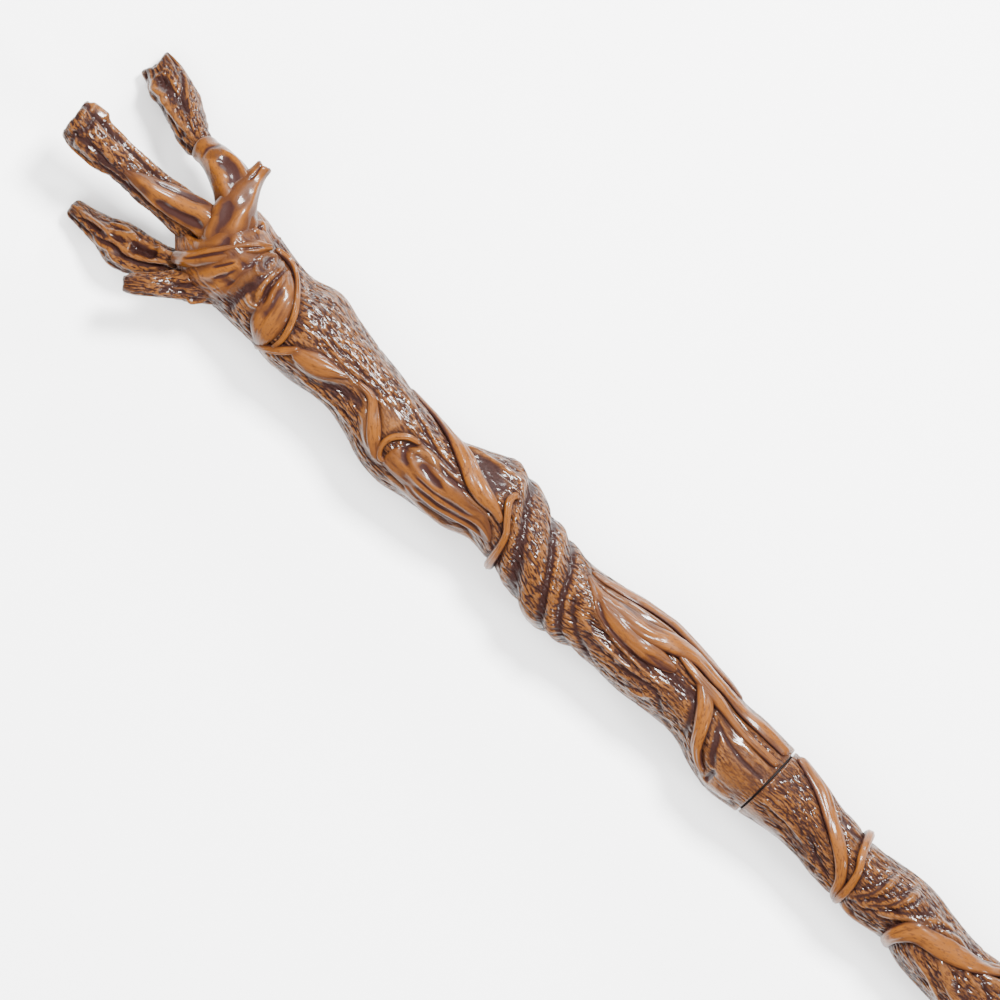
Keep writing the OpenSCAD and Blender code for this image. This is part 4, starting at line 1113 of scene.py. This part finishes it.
PRONG_UPPER = [head(0.48, -0.67, 0.2, 3.1, 2.9), head(0.57, -0.69, -1.2, 3.3, 3),
               head(0.67, -0.77, -3.2, 3.9, 3.2), head(0.77, -0.88, -5.4, 4.6, 3.3),
               head(0.86, -0.95, -7.9, 4.5, 3.3), head(0.92, -0.98, -8.8, 3.8, 2.8)]
PRONG_MIDDLE = [head(0.24, 0.02, 2.2, 4.4, 3.6), head(0.36, 0.03, 3.2, 4.7, 3.6),
                head(0.52, 0.07, 4.4, 4.4, 3.5), head(0.70, 0.10, 5.6, 4.5, 3.7),
                head(0.88, 0.13, 6.8, 5.2, 4), head(1, 0.12, 7.4, 4.5, 3.6)]
PRONG_LOWER = [head(0.18, 0.42, -2, 3, 3), head(0.30, 0.61, -2.4, 3.8, 3.2),
               head(0.42, 0.75, -3.4, 4.9, 3.4), head(0.51, 0.79, -4.8, 4.7, 3.2),
               head(0.60, 0.83, -6.4, 3.5, 2.9), head(0.68, 0.86, -8, 2.9, 2.8),
               head(0.745, 0.88, -8.8, 2.5, 2.5)]
PRONG_STUB = [head(0.0, 0.27, 1.6, 3.4, 2.8), head(0.10, 0.50, 3.1, 3.7, 2.8),
              head(0.21, 0.77, 4, 2.9, 2.5), head(0.30, 0.99, 4.5, 2.6, 2.3),
              head(0.34, 1.08, 4.7, 1.8, 1.7)]
UPPER_ARM = [head(0.09, -0.22, 5.6, 3.6, 3.4), head(0.19, -0.40, 6, 4.2, 3.8),
             head(0.30, -0.60, 4.8, 4.7, 4), head(0.42, -0.67, 2.2, 4.1, 3.8),
             head(0.51, -0.67, -0.4, 3.1, 3.3)]
THORN_ROOT = [head(0.13, 0.10, 8.0, 3.8, 2.4), head(0.185, -0.20, 8.2, 4.7, 2.8),
              head(0.225, -0.50, 7.2, 4.2, 2.8), head(0.25, -0.76, 5.7, 2.8, 2.2),
              head(0.26, -0.98, 4.9, 1.9, 1.8)]
MIDDLE_ARM = [head(0.16, -0.06, 6, 3.6, 3.4), head(0.30, -0.08, 6.4, 3.6, 2.8),
              head(0.44, 0.02, 6.8, 3.4, 2.3), head(0.58, 0.10, 7.6, 2.4, 2),
              head(0.68, 0.15, 8.4, 0.8, 0.8)]
CROWN_WRAP = [head(-0.02, -0.40, 8.2, 1.3, 1.3), head(0.06, -0.17, 10, 1.9, 1.6),
              head(0.14, 0.12, 9.9, 2.1, 1.7), head(0.20, 0.33, 7, 2.1, 1.8),
              head(0.255, 0.45, 2.4, 1.7, 1.6)]


def long_marks(seed, total, count):
    """Ridges and grooves that run the length of a root."""
    dice = np.random.default_rng(seed)
    made = []
    for _ in range(count):
        start, angle, lean = dice.uniform(0, 0.7) * total, dice.uniform(-90, 270), dice.uniform(-3, 3)
        run = dice.uniform(0.25, 0.6) * total
        route = [(start + run * k / 3, angle + lean * run * k / 3 + 10 * math.sin(2 * k + angle))
                 for k in range(4)]
        sunk = dice.random() < 0.5
        height = -dice.uniform(0.35, 0.7) if sunk else dice.uniform(0.35, 0.7)
        width = dice.uniform(0.4, 0.9)
        made.append(Stroke("groove" if sunk else "ridge", route, width, height, 0 if sunk else 0.6))
    return made


def add_prongs_and_arms():
    """The four bark prongs, then the smooth arms, thorn and wrap that grip them."""
    add_limb("prong_upper", PRONG_UPPER, long_marks(21, 26, 12) + [
        Stroke("groove", [(10, 70), (16, 96), (22, 110)], 0.9, -0.9),
        Stroke("ridge", [(4, 100), (10, 120), (16, 132), (24, 128)], 0.7, 0.7, 0.8)],
        "bark_resin", 101, tip="ragged", notch=2.3)
    add_limb("prong_middle", PRONG_MIDDLE, long_marks(22, 39, 12) + [
        Stroke("groove", [(14, 40), (22, 46), (30, 44), (37, 36)], 0.8, -0.9),
        Stroke("ridge", [(16, 24), (24, 22), (32, 16), (37, 10)], 0.8, 0.5, 0.5),
        Stroke("rope", [(33.5, 14), (36.5, 18), (38.4, 26)], 1.7, 1.2, 1.8),
        Stroke("groove", [(36.4, 44), (35.6, 84), (36.6, 120), (35.4, 168)], 0.6, -0.6),
        Stroke("ridge", [(38.2, 50), (38, 84), (38.3, 130)], 0.7, 0.5)],
        "bark_resin", 102, columns=128, tip="ragged", knob=0.1, slant=0.8)
    add_limb("prong_lower", PRONG_LOWER, long_marks(23, 31, 6) + [
        Stroke("groove", [(8, 74), (11, 66), (14.5, 74)], 1.5, -2.0),
        Stroke("ridge", [(2, 70), (7, 96), (12, 106), (18, 98), (24, 80), (30, 84)], 0.5, 0.8, 0.8),
        Stroke("ridge", [(3, 52), (8, 52), (13, 50), (17, 64), (21, 82)], 0.5, 0.7, 0.8),
        Stroke("groove", [(5, 106), (11, 116), (18, 110)], 0.6, -0.8),
        Stroke("groove", [(16, 84), (21, 96), (28, 104)], 0.6, -0.7)],
        "bark_resin", 103, columns=120, tip="round")
    add_limb("prong_stub", PRONG_STUB, long_marks(24, 17, 7), "bark_resin", 104, columns=100,
             tip="hollow", knob=0.08)
    add_limb("upper_arm", UPPER_ARM, [
        Stroke("groove", [(4, 8), (9, 34), (13, 48)], 1.2, -0.6),
        Stroke("groove", [(11, 84), (15, 72), (19, 80)], 1.7, -0.8),
        Stroke("ridge", [(7, 60), (12, 40), (16, 34), (20, 44)], 0.8, 0.6),
        Stroke("ridge", [(5, 128), (11, 118), (16, 108), (20, 112)], 1.0, 0.5),
        Stroke("groove", [(2, 140), (6, 128), (10, 132)], 0.8, -0.4),
        Stroke("groove", [(22, 10), (21.5, 50), (22.1, 84), (21.6, 124)], 0.4, -0.2)],
        "root_resin", 105, tip="lip", lip=0.11)
    add_limb("thorn_root", THORN_ROOT, [
        Stroke("ridge", [(4, 60), (9, 66), (14, 52), (20, 60)], 0.9, 0.4),
        Stroke("groove", [(18, 104), (20, 98), (23, 104)], 0.45, -0.3),
        Stroke("groove", [(3, 120), (8, 108), (12, 118)], 1.1, -0.4)],
        "root_resin", 106, columns=96, tip="hollow", lip=0.1, notch=0.7)
    add_limb("middle_arm", MIDDLE_ARM, [
        Stroke("ridge", [(2, 60), (9, 76), (16, 84), (24, 90)], 1.2, 0.5),
        Stroke("groove", [(5, 120), (11, 128), (18, 130)], 1.0, -0.8),
        Stroke("groove", [(8, 30), (14, 36), (20, 46)], 0.7, -0.6)],
        "root_resin", 107, columns=96)
    add_limb("crown_wrap", CROWN_WRAP, [
        Stroke("groove", [(2, 84), (8, 92), (15, 86), (20, 90)], 0.35, -0.4),
        Stroke("ridge", [(3, 60), (10, 64), (17, 60)], 0.5, 0.35)],
        "root_resin", 108, columns=72)


def add_castings():
    """The trunks, the crown and the burl."""
    for vines, trunk, span in ((SHAFT_VINES, shaft, SHAFT_LEN), (HANDLE_VINES, handle, -HANDLE_LEN)):
        for name, rows in vines.items():
            trunk.strokes.append(bed(rows, span, 0.15 if name in BROAD else 0.35))
    add_trunk("shaft_trunk", shaft, SEAM_FACE, SHAFT_LEN, 328, 296, "shaft", "bark_resin", bore=TANG_R)
    add_trunk("handle_trunk", handle, -SEAM_FACE, -HANDLE_LEN, 262, 270, "handle", "bark_resin",
              bore=SOCKET_R)
    add_trunk("crown_knot", crown, SHAFT_LEN, SHAFT_LEN + CROWN_LEN, 76, 220, "shaft", "root_resin",
              bark_scale=0.8, closed_tip=True, pinch=0.4, laps=shaft)
    add_trunk("butt_burl", butt, -HANDLE_LEN, -HANDLE_LEN - BUTT_LEN, 60, 240, "handle", "bark_resin")


# The vines take the carving before their own beds are cut round them.
for vine_name, vine_rows in SHAFT_VINES.items():
    add_vine(vine_name, shaft, vine_rows, SHAFT_LEN, "shaft")
for vine_name, vine_rows in HANDLE_VINES.items():
    add_vine(vine_name, handle, vine_rows, -HANDLE_LEN, "handle")
add_castings()
add_prongs_and_arms()
# paints shade into the colour where pieces of one body meet
shade_creases()

# ---------------------------------------------------------------- the screw joint's hardware


LATHE_SIDES = 96


def turned(name, profile, body, slot):
    """A lathe-turned piece: a circle is extruded and resized from point to point of a closed profile.

    The profile is a list of (x from the seam, radius) in millimetres.
    """
    bpy.ops.object.select_all(action="DESELECT")
    bpy.ops.mesh.primitive_circle_add(vertices=LATHE_SIDES, radius=profile[0][1] * MM, fill_type="NOTHING",
                                      location=(SEAM[0] + profile[0][0] * MM, SEAM[1], SEAM[2]),
                                      rotation=(0, math.pi / 2, 0))
    piece = bpy.context.object
    piece.name = name
    piece.data.name = name
    bpy.ops.object.transform_apply(location=True, rotation=True, scale=True)
    bpy.ops.object.mode_set(mode="EDIT")
    bpy.ops.mesh.select_all(action="SELECT")
    for (x0, r0), (x1, r1) in zip(profile[:-1], profile[1:]):
        bpy.ops.mesh.extrude_region_move(TRANSFORM_OT_translate={"value": ((x1 - x0) * MM, 0, 0)})
        grow = r1 / r0
        bpy.ops.transform.resize(value=(1, grow, grow), center_override=(SEAM[0] + x1 * MM, SEAM[1], SEAM[2]))
    close_mesh()
    bpy.ops.object.shade_smooth_by_angle(angle=math.radians(35))
    hand_over(piece, name, body, slot)


def add_washer():
    """The rubber washer on the stud, with rounded rims."""
    half, outer, inner = 0.25, 8.25, 4.1
    rim = [(-half, inner + 0.1), (-half, outer - 0.2), (-half * 0.6, outer - 0.04), (0, outer),
           (half * 0.6, outer - 0.04), (half, outer - 0.2), (half, inner + 0.1), (0, inner),
           (-half, inner + 0.1)]
    turned("friction_washer", rim, "seam_washer", "washer_rubber")


def add_socket():
    """The brass socket let into the handle: a chamfered mouth and turned rings inside."""
    mouth, end, outer, bore = -SEAM_FACE, SOCKET_END, SOCKET_R, 4.05
    profile = [(mouth, bore + 0.5), (mouth, outer - 0.2), (mouth - 0.2, outer), (end, outer), (end, bore)]
    for ring in range(17, 0, -1):
        x = mouth - 0.6 - THREAD_PITCH * ring
        profile += [(x, bore), (x + 0.35, bore + 0.28), (x + 0.55, bore + 0.28), (x + 0.9, bore)]
    profile += [(mouth - 0.5, bore), (mouth, bore + 0.5)]
    turned("socket_insert", profile, "handle", "brass")


def add_plug():
    """The turned plug in the butt: a flat face with a rounded rim and two fine rings."""
    face, depth, outer = -HANDLE_LEN - BUTT_LEN, 4.0, PLUG_R
    profile = [(face + depth, 0.4), (face + depth, outer), (face + 0.5, outer), (face + 0.15, outer - 0.12),
               (face, outer - 0.45)]
    for rim in (outer - 1.6, 2.2):      # the two fine rings
        profile += [(face, rim), (face + 0.25, rim - 0.15), (face + 0.25, rim - 0.35), (face, rim - 0.5)]
    profile.append((face, 0.3))
    turned("butt_plug", profile, "handle", "plug_resin")


def add_stud():
    """The brass stud: a screw thread that stands out of the shaft, and the plain tang behind it."""
    crest, root, tip, tang_end = 4.0, 3.35, -14.0, 16.25
    xs = np.linspace(tip, 0.2, 220)
    q = np.arange(72) * 360 / 72
    x, a = np.meshgrid(xs, q, indexing="ij")
    phase = np.abs(((x / THREAD_PITCH + a / 360) % 1) - 0.5) * 2
    depth = np.clip((phase - 0.12) / 0.76, 0, 1)
    radius = root + (crest - root) * depth
    radius = np.minimum(radius, 3.0 + np.clip(x - tip, 0, 4))
    radius = np.where(x > -0.9, np.minimum(radius, 3.7), radius)
    y, z = radius * np.sin(np.radians(a)), radius * np.cos(np.radians(a))
    places = np.stack([x, y, z], -1)
    ring = np.stack([0 * q, np.sin(np.radians(q)), np.cos(np.radians(q))], -1)
    nose = [ring * (1, r, r) + (tip, 0, 0) for r in (0.6, 2.2)]
    tang = [ring * (1, r, r) + (at, 0, 0) for at, r in
            ((SEAM_FACE, crest), (SEAM_FACE, 5.3), (SEAM_FACE + 0.2, TANG_R), (8, TANG_R),
             (tang_end - 0.25, TANG_R), (tang_end, 5.2), (tang_end, 1.0))]
    places = np.concatenate([nose, places, tang])
    flat = np.zeros(places.shape[:2])
    stud = rolled("screw_stud", places, flat, flat, flat, places, "shaft", "brass", (0.1, 0.3))
    PIECES.remove(stud)
    bpy.ops.object.select_all(action="DESELECT")
    stud.select_set(True)
    bpy.context.view_layer.objects.active = stud
    bpy.ops.object.shade_smooth_by_angle(angle=math.radians(40))


add_washer()
add_socket()
add_plug()
add_stud()

for node_name in ("handle_core", "shaft_core", "prong_pins"):
    cad_object = bpy.data.objects[node_name]
    cad_object.data.materials.clear()
    cad_object.data.materials.append(FINISHES["core_steel"])
